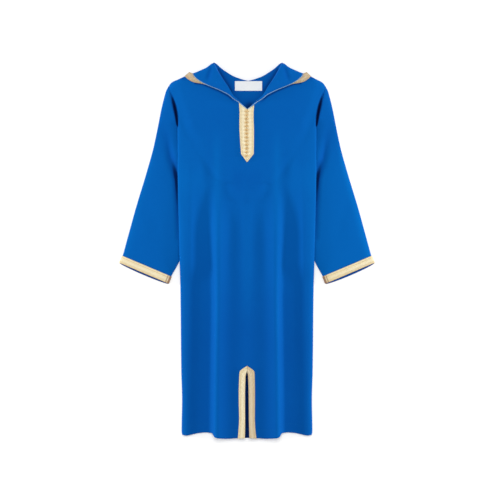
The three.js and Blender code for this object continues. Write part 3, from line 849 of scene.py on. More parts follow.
@dataclass
class Sleeve:
    """One long sleeve, folded lengthwise, with its braided cuff."""

    side: Side
    rows: int = 130
    columns: int = 64
    fold_z: float = 0.0018
    tuck: float = 0.002  # how far the seam allowance runs in under the front
    cuff_from: float = 9.0  # the section where the braid starts; the sleeve ends at 10
    cuff_width: float = 0.131
    cuff_height: float = 0.0186
    outer_x: tuple[float, ...] = (
        0.1955, 0.2015, 0.207, 0.2143, 0.2223, 0.234, 0.253, 0.277, 0.298, 0.311, 0.3185
    )
    outer_y: tuple[float, ...] = (
        0.4102, 0.4005, 0.382, 0.352, 0.311, 0.256, 0.188, 0.109, 0.033, -0.0135, -0.0305
    )
    inner_x: tuple[float, ...] = (
        0.1744, 0.1742, 0.1739, 0.1712, 0.164, 0.156, 0.152, 0.154, 0.165, 0.1895, 0.1963
    )
    inner_y: tuple[float, ...] = (
        0.3104, 0.298, 0.280, 0.250, 0.220, 0.175, 0.115, 0.045, -0.016, -0.065, -0.0825
    )
    height: tuple[float, ...] = (
        0.009, 0.0086, 0.008, 0.007, 0.0065, 0.0065, 0.0065, 0.0065, 0.0065, 0.0065, 0.0065
    )
    base: tuple[float, ...] = (0, 0, 0, 0, 0, 0, 0, 0, 0.0003, 0.0019, 0.0019)
    creases: tuple[Crease | Bend, ...] = (
        Bend((0.212, 0.204, 0.195, 0.184, 0.178, 0.1765, 0.1757, 0.1745, 0.173),
             (0.325, 0.2885, 0.251, 0.2135, 0.189, 0.176, 0.15, 0.11, 0.03),
             (0.010, 0.011, 0.011, 0.009, 0.0065, 0.006, 0.006, 0.006, 0.006),
             (0.0, -0.0014, -0.0022, -0.0034, -0.0048, -0.0048, -0.0042, -0.0024, -0.001)),
        Bend((0.178, 0.1765, 0.1755), (0.300, 0.262, 0.226), (0.010, 0.009, 0.006), (0.0006, 0.0034, 0.0020)),
        Crease((0.262, 0.15), (0.225, 0.03), 0.017, -0.0010),
        Crease((0.245, 0.09), (0.272, 0.01), 0.018, 0.0007),
    )

    # painted shade along the valley below the armpit, in steps of the mark pale
    valley: Bend = Bend(
        (0.212, 0.204, 0.195, 0.184, 0.178, 0.1762, 0.1757, 0.1745, 0.173),
        (0.325, 0.2885, 0.251, 0.2135, 0.189, 0.176, 0.15, 0.11, 0.03),
        (0.010, 0.010, 0.010, 0.009, 0.007, 0.0055, 0.005, 0.0045, 0.004),
        (0.0, 0.5, 0.9, 2.4, 4.4, 4.9, 3.6, 2.4, 0.8),
    )
    corner: float = 0.16
    cuff_back_longer: tuple[float, float] = (0.0044, 0.0054)  # on the left and on the right
    # how much painted highlight lies along the outer fold
    outer_paleness: tuple[float, float] = (0.6, 1.1)  # on the left and on the right

    @property
    def _number(self) -> int:
        """0 on the left and 1 on the right."""
        return list(Side).index(self.side)

    def _along(self, name: str, s: Array) -> Array:
        """A measure of the sleeve at section number s, on a smooth line through its sections."""
        return through(getattr(self, name), s)

    def _ring(self, s: Array, v: Array, grow: float) -> tuple[Array, Array]:
        """Outer points of the top and bottom layers.

        Both layers spring from the folded edges at fold_z and follow a flattened tube's rise, the top
        one up to the sleeve's height and the bottom one down to the surface.

        Args:
            s: section numbers, one row each.
            v: shares across, one column each.
            grow: how far the points stand off the sleeve's own outer face.

        Returns:
            The top and the bottom layer, each rows by columns by 3.
        """
        ox, oy = self._along("outer_x", s), self._along("outer_y", s)
        ix, iy = self._along("inner_x", s), self._along("inner_y", s)
        width = np.hypot(ix - ox, iy - oy)
        cx, cy = (ix - ox) / width, (iy - oy) / width
        tuck, along = self.tuck * (s <= 0), lerp(-grow, width + grow, v)
        x, y = ox + cx * along - cy * tuck, oy + cy * along + cx * tuck
        rise, base, height = tube_rise(v), self._along("base", s), self._along("height", s)
        top = self.fold_z + (height - self.fold_z + grow) * rise**1.5
        outside = smoothstep(x - LAY.half_width(y), -0.006, 0.001) * np.clip(rise * 1.4, 0, 1)
        top = top + creased(self.creases, x, y) * outside - LAY.groove_depth * LAY.armhole_groove(x, y)
        top = self._meeting_body(x, y, top)
        top = np.maximum(top, self.fold_z + (CREPE_THICKNESS + 0.0002 + grow) * rise)
        bottom = self.fold_z - (self.fold_z + grow) * rise
        inside = (x < LAY.half_width(y)) & (s <= 0)
        under_front = LAY.front_top(x, y, fine=True) - CREPE_THICKNESS - SEAM
        over_back = LAY.layers_beneath(x, y) + CREPE_THICKNESS + SEAM
        middle = (under_front + over_back) / 2
        top = np.where(inside, np.maximum(middle, np.minimum(top, under_front)), top)
        bottom = np.where(inside, np.minimum(middle, np.maximum(bottom, over_back)), bottom)
        down = self.cuff_back_longer[self._number] * smoothstep(s, self.cuff_from + 0.2, self.cuff_from + 0.8)
        down = down * round_edge(from_ends(v), 0.5)
        return grid(x, y, top + base), grid(x - cy * down, y + cx * down, bottom + base)

    def _meeting_body(self, x: Array, y: Array, top: Array) -> Array:
        """The top layer's height, level with the body's edge below the armpit and under it inside.

        Args:
            x: places across the garment.
            y: places up it, towards the neck.
            top: the layer's own height.

        Returns:
            The height it has there.
        """
        past = x - LAY.half_width(y)
        edge = LAY.layers_beneath(LAY.half_width(y), y) + CLOTH + LAYER
        level = edge + lerp(-0.0014, 0.0004, smoothstep(past, -0.0006, 0.0003))
        share = smoothstep(y, 0.205, 0.235) * (1 - smoothstep(y, 0.306, 0.335))
        return lerp(top, level, share * (1 - smoothstep(past, 0.001, 0.022)))

    def _paleness(self, x: Array, y: Array, v: Array) -> Array:
        """Painted light on the sleeve's outer fold and painted shade in the valley below the armpit.

        Args:
            x: places across the garment.
            y: places up it, towards the neck.
            v: shares across the sleeve, from its outer fold.

        Returns:
            The mark pale.
        """
        # painted highlight along the outer fold, painted shade in the valley and the armhole's crease
        fold = lerp(0.9, 1.8, 1 - smoothstep(v, 0.02, 0.16))
        shoulder = smoothstep(y, 0.2, 0.3)
        plain = lerp(fold * self.outer_paleness[self._number], 0.1, shoulder)
        return plain - self.valley.lift(x, y) - LAY.groove_shade * LAY.armhole_groove(x, y)

    def _rounded(self, s: Array, v: Array) -> Array:
        """Section numbers drawn back at the two corners of the cuff, along a quarter circle."""
        back = self.corner * (1 - round_edge(from_ends(v), 0.028))
        return s - back * smoothstep(s, self.cuff_from + 0.5, 10)

    def build(self, crepe: Material, braid: Material) -> None:
        """Makes and dresses the sleeve and its cuff braid.

        Args:
            crepe: the cloth.
            braid: the braid's material.
        """
        v = crowded(self.columns)[None, :]
        s = self._rounded(np.concatenate([[0], np.linspace(0.03, 10, self.rows)])[:, None], v)
        shell = Shell(f"sleeve_{self.side.word}")
        faces = self._ring(s, v, 0.0)
        walls = self._ring(s, v, -CREPE_THICKNESS)
        for outer, inner, sign in zip(faces, walls, (1, -1)):
            # painted shade on the sleeve's cloth under and just below the cuff braid
            shade_under_cuff = 2.2 * smoothstep(s, self.cuff_from, self.cuff_from + 0.3)
            pale = self._paleness(outer[..., 0], outer[..., 1], v) - shade_under_cuff
            shell.patch(outer, inner, grid(sign * v * 0.13, s * 0.045), pale=pale)
        made = place(shell.build(self.side), Slot.CREPE, crepe, shell.name)
        shell = Shell(f"cuff_braid_{self.side.word}")
        s = self._rounded(np.linspace(self.cuff_from, 10, 18)[:, None], v)
        up = s - self.cuff_from
        crown = 0.0003 * np.sin(np.clip(up, 0, 1) * math.pi) ** 0.5 * round_edge(from_ends(v), 0.02)
        # a dark joint line in the braid, and painted shade over its inner end where it turns round the fold
        joint_line_and_end_shade = np.clip(bell(v - 0.932, 0.009) + smoothstep(v, 0.945, 0.972), 0, 1)
        faces = self._ring(s, v, SEAM + BRAID)
        walls = self._ring(s, v, SEAM)
        for outer, inner, sign in zip(faces, walls, (1, -1)):
            outer = outer + sign * grid(0, 0, crown)
            uv = grid(v * self.cuff_width, up * self.cuff_height)
            shell.patch(outer, inner, uv, pale=-joint_line_and_end_shade + 0 * s)
        cuff = place(shell.build(self.side), Slot.BRAID, braid, shell.name)


@dataclass
class Hood:
    """The hood: turned back beside the neck, with braid along its free edge, folded under the back."""

    rows: int = 110
    columns: int = 56
    roll_x: tuple[float, ...] = LAY.roll_line[0][1:]
    roll_y: tuple[float, ...] = LAY.roll_line[1][1:]
    edge_x: tuple[float, ...] = (0.024, 0.0365, 0.0465, 0.070, 0.095, 0.111, 0.125, 0.133, 0.1388)
    edge_y: tuple[float, ...] = (0.3722, 0.3803, 0.3887, 0.401, 0.4112, 0.4187, 0.4275, 0.4345, 0.441)
    braid_x: tuple[float, ...] = (0.0244, 0.037, 0.0469, 0.0703, 0.0954, 0.1124, 0.135, 0.149, 0.1575)
    braid_y: tuple[float, ...] = (0.3716, 0.3797, 0.3881, 0.4004, 0.4105, 0.4162, 0.4202, 0.4275, 0.4355)
    under_corner: tuple[float, float] = (0.1305, 0.4375)
    braid_corner: tuple[float, float] = (0.1465, 0.4455)
    braid_under: float = 0.007
    braid_turn_lift: float = 0.0016
    edge_z: float = 0.0074
    roll_start: float = 0.004
    roll_height: float = 0.009
    crest: float = 0.06
    undercut: float = 0.12
    # a soft trough below the hood's peak, which is also painted darker as painted shade
    smudge: Crease = Crease((0.090, 0.463), (0.101, 0.424), 0.006, -0.0016)
    piping: float = 0.0009
    piping_foot: tuple[float, float] = (0.0014, 0.3535)
    braid_shade: float = -0.52
    side_top: float = 0.4335  # where the hidden layers' upper rim meets their side

    def _along(self, name: str, s: Array) -> Array:
        """A measure of the hood at share s of its free edge, on a smooth line through its rows."""
        values = getattr(self, name)
        return through(values, s, 1 / (len(values) - 1))

    def _braid_bottom(self, x: Array, y: Array) -> Array:
        """Underside of the braid on the hood's edge, which stands up a little where it turns."""
        turn_up = self.braid_turn_lift * smoothstep(np.abs(x), 0.105, 0.14)
        return LAY.front_top(x, y, fine=True) + BRAID_GAP + turn_up

    def _plan(self, s: Array, t: Array) -> tuple[Array, Array]:
        """Plan point, t from 0 at the roll line to 1 at the free edge.

        Args:
            s: shares of the way up the free edge.
            t: shares of the way out to it.

        Returns:
            x and y.
        """
        out = np.where(t < 0, -0.3 * t, t)
        x = lerp(self._along("roll_x", s), self._along("edge_x", s), out)
        straight = lerp(self._along("roll_y", s), self._along("edge_y", s), out)
        brow = LAY.hood_brow(x) - straight
        return x, straight + brow * smoothstep(s, 0.86, 1) * smoothstep(t, 0, 0.15)

    def _top(self, x: Array, y: Array, s: Array, t: Array) -> Array:
        """Height of the outer face.

        It climbs steeply to the roll and falls as a cosine to its edge. Past the roll line, where t is
        below 0, it drops to the back's cloth inside the neck.

        Args:
            x: places across the garment.
            y: places up it, towards the neck.
            s: shares of the way up the free edge.
            t: shares of the way out to it.

        Returns:
            The height there.
        """
        rest = self._braid_bottom(x, y) + BRAID + SEAM + CLOTH + self.smudge.lift(x, y)
        inside = smoothstep(t, 0, self.crest)
        outside = np.cos(np.clip((t - self.crest) / (1 - self.crest), 0, 1) * math.pi / 2)
        roll = lerp(self.roll_start, self.roll_height, smoothstep(s, 0, 0.5))
        rolled = rest + roll * outside - (1 - inside) * (roll + 0.0046)
        turned = lerp(self.edge_z, rest, smoothstep(t, 0.4, 0.7))
        over = lerp(turned, rolled, round_edge(1 - s, 0.14))
        inner = LAY.layers_beneath(x, y) + 2 * CREPE_THICKNESS + SEAM
        return lerp(over, np.minimum(over, inner), smoothstep(-t, 0, self.undercut))

    def _edge_piping(self, side: Side, cord: Material) -> None:
        """The thin cord sewn along the hood's free edge and down the neck's edge to its point.

        Args:
            side: the side it is on.
            cord: the cord's material.
        """
        (foot_x, foot_y), s = self.piping_foot, np.linspace(0, 0.97, 150)
        ex, ey = self._along("edge_x", s), self._along("edge_y", s)
        bx, by = self._along("braid_x", s) - ex, self._along("braid_y", s) - ey
        out = 0.0006 / np.hypot(bx, by)
        down = np.linspace(0, 1, 26)[:-1]
        edge_x, edge_y = ex + bx * out, ey + by * out
        x = np.concatenate([lerp(foot_x, edge_x[0], down), edge_x])
        y = np.concatenate([lerp(foot_y, edge_y[0], down), edge_y])
        z = self._braid_bottom(x, y) + BRAID + self.piping * 0.8
        made = Tube(self.piping, 10, closed=False).mesh(grid(side.value * x + LAY.lean(x, y), y, z))
        place(new_object(f"hood_piping_{side.word}", *made), Slot.BRAID, cord)

    def _turned_back(self, side: Side, crepe: Material) -> Object:
        """The hood's side beside the neck, from inside the neck over its roll to the free edge.

        Args:
            side: the side it is on.
            crepe: the cloth.

        Returns:
            The dressed piece.
        """
        inside = np.linspace(-self.undercut, self.crest, 14)[:-1]
        shares = np.concatenate([inside, np.linspace(self.crest, 1, self.columns)])
        s, t = np.meshgrid(np.linspace(0, 1, self.rows), shares, indexing="ij")
        x, y = self._plan(s, t)
        outer = grid(x, y, self._top(x, y, s, t))
        # slightly lighter over the hood, painted shade beside the roll line and in the trough below the peak
        pale = 0.3 - 1.8 * (1 - smoothstep(t, 0.0, 0.08)) + 700 * self.smudge.lift(x, y)
        shell = Shell(f"hood_{side.word}")
        shell.patch(outer, walled(outer, CREPE_THICKNESS), grid(t * 0.06, s * 0.17), pale=pale)
        return place(shell.build(side), Slot.CREPE, crepe, shell.name)

    def _edge_braid(self, side: Side, braid: Material) -> Object:
        """The braid along the free edge: it starts under the hood's cloth and turns up at the peak.

        Args:
            side: the side it is on.
            braid: the braid's material.

        Returns:
            The dressed piece.
        """
        s = np.linspace(0, 1, self.rows)[:, None]
        ex, ey = self._along("edge_x", s), self._along("edge_y", s)
        rx, ry = self._along("roll_x", s) - ex, self._along("roll_y", s) - ey
        bx, by = self._along("braid_x", s), self._along("braid_y", s)
        reach = np.minimum(self.braid_under / np.hypot(rx, ry), 0.6)
        turn, hidden = smoothstep(s, 0.94, 1), smoothstep(s, 0.8, 1)
        (corner_x, corner_y), (under_x, under_y) = self.braid_corner, self.under_corner
        near, far = np.linspace(0, 1, 6)[None, :-1], np.linspace(0, 1, 14)[None, :]
        plan = []
        for edge, roll, out, corner, under in (
            (ex, rx, bx, corner_x, under_x),
            (ey, ry, by, corner_y, under_y),
        ):
            start, middle = lerp(edge + roll * reach, under, hidden), lerp(edge, corner, turn)
            plan.append(np.hstack([lerp(start, middle, near), lerp(middle, out, far)]))
        x, y = plan
        z = self._braid_bottom(x, y)
        step = np.hypot(np.diff(bx, axis=0, prepend=bx[:1]), np.diff(by, axis=0, prepend=by[:1]))
        uv = grid(np.cumsum(step)[:, None], np.hypot(x - bx, y - by))
        shell = Shell(f"hood_braid_{side.word}")
        shell.patch(grid(x, y, z + BRAID), grid(x, y, z), uv, pale=self.braid_shade)
        return place(shell.build(side), Slot.BRAID, braid, shell.name)

    def _under_back(self, crepe: Material) -> None:
        """The hood's two hidden layers under the back.

        Each column runs from the hood's lower outline, where its half width is a power of the height
        above the tip, up to the neckline and the brow. Each layer is rounded towards the rim.

        Args:
            crepe: the cloth.
        """
        tip, (side_x, side_y) = LAY.hood_tip, LAY.hood_side
        neck_end, brow_end = LAY.hood_brow.at[0], LAY.hood_brow.at[-1]
        u, r = np.sin(np.linspace(-1, 1, 121) * math.pi / 2)[None, :], crowded(90)[:, None]
        x = side_x * u * np.ones_like(r)
        across = np.abs(x)
        low = tip + (side_y - tip) * np.abs(u) ** (1 / HOOD_SWELL)
        high = np.where(across < neck_end, LAY.back_neck(across), LAY.hood_brow(across))
        fall = lerp(LAY.hood_brow.value[-1], self.side_top, (across - brow_end) / (side_x - brow_end))
        high = np.where(across > brow_end, fall, high)
        y = lerp(low, high, r)
        slope = np.gradient(low[0], x[0])[None, :]
        inset = np.minimum(np.minimum(high - y, side_x - across), (y - low) / np.hypot(1, slope))
        soft = round_edge(np.maximum(inset, 0), 0.003)
        seam = 0.0007 * bell(x, 0.0022)
        shell = Shell("hood_fold", bulge=0.0002)
        for middle, half, dip in ((0.0013, 0.0013, 1), (0.0039, 0.0011, 0)):
            top, bottom = middle + half * soft, middle - half * soft + dip * seam * soft
            shell.patch(grid(x, y, top), grid(x, y, bottom), grid(x, y))
        fold = place(shell.build(), Slot.CREPE, crepe, "hood_fold")

    def build(self, crepe: Material, braid: Material, cord: Material) -> None:
        """Makes and dresses both sides of the hood and its hidden layers.

        Args:
            crepe: the cloth.
            braid: the braid's material.
            cord: the piping's material.
        """
        for side in Side:
            hood, edge = self._turned_back(side, crepe), self._edge_braid(side, braid)
            self._edge_piping(side, cord)
        self._under_back(crepe)


@dataclass(frozen=True)
class Strip:
    """A braid strip sewn flat on the front, given by its near edge and its far edge."""

    name: str
    near: tuple[float, ...]
    near_y: tuple[float, ...]
    far: tuple[float, ...]
    far_y: tuple[float, ...]
    rounded: bool = False
    shade: float = 0.0

    def _edge(self, values: tuple[float, ...], s: Array) -> Array:
        """An edge's coordinate at row number s, rounded at its corners or straight between rows."""
        return through(values, s) if self.rounded else np.interp(s, range(len(values)), values)

    def build(self, side: Side, braid: Material) -> Object:
        """Makes and dresses the strip: it follows the front and thins at its two selvedges.

        Args:
            side: the side it is on.
            braid: the braid's material.

        Returns:
            The dressed piece.
        """
        last = len(self.near) - 1
        s = np.concatenate([np.linspace(0, 0.98, 20), np.linspace(1, last, 26 * (last - 1))])[:, None]
        t = crowded(17)[None, :]
        x = lerp(self._edge(self.near, s), self._edge(self.far, s), t)
        y = lerp(self._edge(self.near_y, s), self._edge(self.far_y, s), t)
        bottom = LAY.front_top(x, y, fine=True) + BRAID_GAP
        crown = BRAID * lerp(0.72, 1, round_edge(from_ends(t) * 0.018, 0.0025))
        uv = threaded(self.far, self.far_y, x, y)
        shell = Shell(f"{self.name}_{side.word}")
        shell.patch(grid(x, y, bottom + crown), grid(x, y, bottom - SEAM), uv, pale=self.shade)
        return place(shell.build(side), Slot.BRAID, braid, shell.name)


@dataclass(frozen=True)
class Tube:
    """A round cord along a path, or a closed ring of one."""

    radius: float
    sides: int = 8
    closed: bool = True

    def mesh(self, path: Array) -> tuple[Array, Array, Array]:
        """Points, triangles and UV of the cord.

        Each ring lies across the path's direction, on two lines square to it; UV is length along the
        cord and share of the way round.

        Args:
            path: the points of the cord's middle line, in order.

        Returns:
            Points, triangles and UV of their corners.
        """
        count, sides = len(path), self.sides
        if self.closed:
            ahead = np.roll(path, -1, axis=0) - np.roll(path, 1, axis=0)
        else:
            ahead = np.gradient(path, axis=0)
        ahead /= np.linalg.norm(ahead, axis=1, keepdims=True)
        level = np.cross(ahead, (0.05, 0.03, 1.0))
        level /= np.linalg.norm(level, axis=1, keepdims=True)
        other = np.cross(ahead, level)
        turn = np.linspace(0, 2 * math.pi, sides, endpoint=False)[None, :, None]
        ring = level[:, None, :] * np.cos(turn) + other[:, None, :] * np.sin(turn)
        points = (path[:, None, :] + self.radius * ring).reshape(-1, 3)
        i, j = np.meshgrid(np.arange(count if self.closed else count - 1), np.arange(sides), indexing="ij")
        k, m = (i + 1) % count, (j + 1) % sides
        index = [ring_row * sides + way for ring_row, way in ((i, j), (k, j), (k, m), (i, m))]
        u = np.linalg.norm(np.diff(path, axis=0, prepend=path[:1]), axis=1).cumsum()[i]
        far = u + np.linalg.norm(path[k] - path[i], axis=-1)
        flat = [grid(run, (j + turned) / sides) for run, turned in ((u, 0), (far, 0), (far, 1), (u, 1))]
        halves = ((0, 2, 1), (0, 3, 2))
        triangles = np.concatenate([grid(*(index[n] for n in half)).reshape(-1, 3) for half in halves])
        uv = np.concatenate([np.stack([flat[n] for n in half], axis=-2).reshape(-1, 3, 2) for half in halves])
        if not self.closed:
            j, base = np.arange(sides), (count - 1) * sides
            m, first = (j + 1) % sides, count * sides
            caps = np.concatenate([grid(first, m, j), grid(first + 1, base + j, base + m)])
            points = np.concatenate([points, path[:1], path[-1:]])
            triangles = np.concatenate([triangles, caps])
            uv = np.concatenate([uv, np.zeros((len(caps), 3, 2))])
        return points, triangles, uv


@dataclass
class Fastening:
    """The front's fastening: two braid strips, thirteen corded knots and the loops that hold them."""

    count: int = 13
    top_y: float = 0.3475
    pitch: float = 0.00925
    x: float = -0.0012
    size: tuple[float, float, float] = (0.0035, 0.0027, 0.0021)
    cord: float = 0.00085
    loop: float = 0.0007

    def _knot(self, number: int) -> Object:
        """A knot: one cord wound over a ball, its latitude a wave that crosses itself as it goes round.

        Args:
            number: its place in the row, from 0 at the top.

        Returns:
            The piece.
        """
        y = self.top_y - number * self.pitch
        t = np.linspace(0, 2 * math.pi, 110, endpoint=False)
        longitude, latitude = 3 * t + 0.4 * number, 1.05 * np.sin(4 * t)
        level = np.cos(latitude)
        ball = grid(level * np.cos(longitude), level * np.sin(longitude), np.sin(latitude))
        ball = ball * (1 + 0.1 * np.cos(12 * t))[:, None]
        middle = np.array([0.0]), np.array([y])
        base = float(LAY.front_top(*middle, fine=True)[0]) + BRAID_GAP + BRAID
        x = self.x + float(LAY.lean(*middle)[0])
        at = np.array([x, y, base + self.size[2]])
        parts = [Tube(self.cord, 8).mesh(at + ball * (np.array(self.size) - self.cord))]
        for side in Side:
            s = np.linspace(0, 1, 16)
            sag = 0.0009 * np.sin(s * math.pi) * side.value
            path = grid(side.value * (0.0008 + 0.0044 * s), sag - 0.0006 * s, 0.0006 + 0.0012 * (1 - s) ** 2)
            parts.append(Tube(self.loop, 6, closed=False).mesh(path + (x, y, base)))
        points, triangles, uv = zip(*parts)
        starts = np.cumsum([0, *map(len, points[:-1])])
        joined = np.concatenate([faces + start for faces, start in zip(triangles, starts)])
        return new_object(f"sewn_knot_{number + 1:02d}", np.concatenate(points), joined, np.concatenate(uv))

    def build(self, braid: Material, cord: Material) -> None:
        """Makes and dresses the strips, the knots and their loops.

        Args:
            braid: the braid's material.
            cord: the cord's material.
        """
        near = (0.0004,) * 6
        near_y = (0.353, 0.338, 0.3, 0.262, 0.232, 0.221)
        lower_y = (0.345, 0.3, 0.262, 0.241, 0.221)
        for side, far, top_y in (
            (Side.LEFT, (0.0216, 0.0188, 0.0186, 0.0162, 0.0146, 0.0004), 0.370),
            (Side.RIGHT, (0.0162, 0.0156, 0.0172, 0.0170, 0.0165, 0.0004), 0.3625),
        ):
            Strip("placket_braid", near, near_y, far, (top_y, *lower_y)).build(side, braid)
        for number in range(self.count):
            place(self._knot(number), Slot.KNOT, cord, f"knot_{number + 1:02d}")


@dataclass
class HemSlit:
    """The braid round the walking slit at the hem."""

    near_y: tuple[float, ...] = (-0.288, -0.299, -0.314, -0.365, -0.425, -0.455, -0.4685)
    far_y: tuple[float, ...] = (-0.288, -0.304, -0.326, -0.365, -0.42, -0.455, -0.4695)

    def build(self, braid: Material) -> None:
        """Makes and dresses both strips; the right one has more painted shade.

        Args:
            braid: the braid's material.
        """
        # shade is the painted shade of each strip, more on the right
        for side, near, far, shade in (
            (
                Side.LEFT,
                (0.0003, 0.0003, 0.0038, 0.0051, 0.0050, 0.0052, 0.0058),
                (0.0003, 0.0184, 0.0198, 0.0206, 0.0196, 0.0215, 0.023),
                -0.14,
            ),
            (
                Side.RIGHT,
                (0.0003, 0.0003, 0.0030, 0.0044, 0.0050, 0.0058, 0.0062),
                (0.0003, 0.0184, 0.0192, 0.0196, 0.0194, 0.0215, 0.0235),
                -0.42,
            ),
        ):
            strip = Strip("slit_braid", near, self.near_y, far, self.far_y, rounded=True, shade=shade)
            strip.build(side, braid)


@dataclass
class NeckLabel:
    """The blank woven label at the back of the neck."""

    x: float = 0.0013
    y: float = 0.411
    width: float = 0.068
    length: float = 0.024
    thickness: float = 0.0007
    end_lift: float = 0.0003
    ripple: float = 0.00025

    def build(self, tape: Material) -> None:
        """Makes and dresses the label: a thin tape whose ends are folded under and stand a little higher.

        Args:
            tape: the label's material.
        """
        u, v = np.meshgrid(np.linspace(-1, 1, 90), np.linspace(-1, 1, 40), indexing="ij")
        x, y = self.x + u * self.width / 2, self.y + v * self.length / 2
        under = LAY.layers_beneath(x, y) + CREPE_THICKNESS + SEAM
        ends = smoothstep(np.abs(u), 0.86, 0.89) * self.end_lift
        ripple = self.ripple * np.cos(u * 5.2) * (1 - v * v)
        top = under + self.thickness + ends + ripple * (1 - u * u)
        shell = Shell("neck_label", bulge=0.0001)
        shell.patch(grid(x, y, top), grid(x, y, under), grid(u * self.width / 2, v * self.length / 2))
        made = place(shell.build(), Slot.LABEL, tape, "neck_label")


@dataclass
class Studio:
    """The pale floor, the soft lights and the camera above."""

    camera_x: float = 0.0075
    camera_y: float = 0.00125
    distance: float = 9.0
    span: float = 1.25
    floor_half: float = 6.0
    floor_z: float = -0.0005
    sensor: float = 36.0
    sky: float = 0.55
    lights: tuple[tuple[str, tuple[float, float, float], float, float], ...] = (
        ("overhead", (0.0, 1.0, 3.2), 2.0, 52),
        ("left", (-3.2, 0.2, 0.42), 0.4, 78),
        ("right", (3.2, 0.2, 0.42), 0.4, 78),
    )  # name, place, size and power

    def _light(self, name: str, at: tuple[float, float, float], size: float, power: float) -> None:
        """A square soft light that faces the middle of the garment.

        Args:
            name: its name.
            at: where it stands.
            size: how wide it is.
            power: its power in watts.
        """
        data = bpy.data.lights.new(name, "AREA")
        data.shape, data.size, data.energy = "SQUARE", size, power
        lamp = bpy.data.objects.new(name, data)
        lamp.location = at
        lamp.rotation_euler = Vector(at).to_track_quat("Z", "Y").to_euler()
        bpy.context.scene.collection.objects.link(lamp)

    def build(self, pale: Material) -> None:
        """Makes the floor, the lights, the world and the camera.

        Args:
            pale: the floor's material.
        """
        half = self.floor_half
        x, y = np.array([-half, half, half, -half]), np.array([-half, -half, half, half])
        floor = new_object("floor", grid(x, y, self.floor_z), np.array([(0, 1, 2), (0, 2, 3)]))
        floor.data.materials.append(pale)
        for light in self.lights:
            self._light(*light)
        world = bpy.data.worlds.new("studio")
        world.use_nodes = True
        background = world.node_tree.nodes["Background"].inputs
        background["Color"].default_value, background["Strength"].default_value = (1, 1, 1, 1), self.sky
        bpy.context.scene.world = world
        data = bpy.data.cameras.new("above")
        data.sensor_width, data.lens = self.sensor, self.sensor * self.distance / self.span
        camera = bpy.data.objects.new("above", data)
        camera.location = (self.camera_x, self.camera_y, self.distance)
        bpy.context.scene.collection.objects.link(camera)
        bpy.context.scene.camera = camera
        bpy.context.scene.view_settings.view_transform = "Standard"


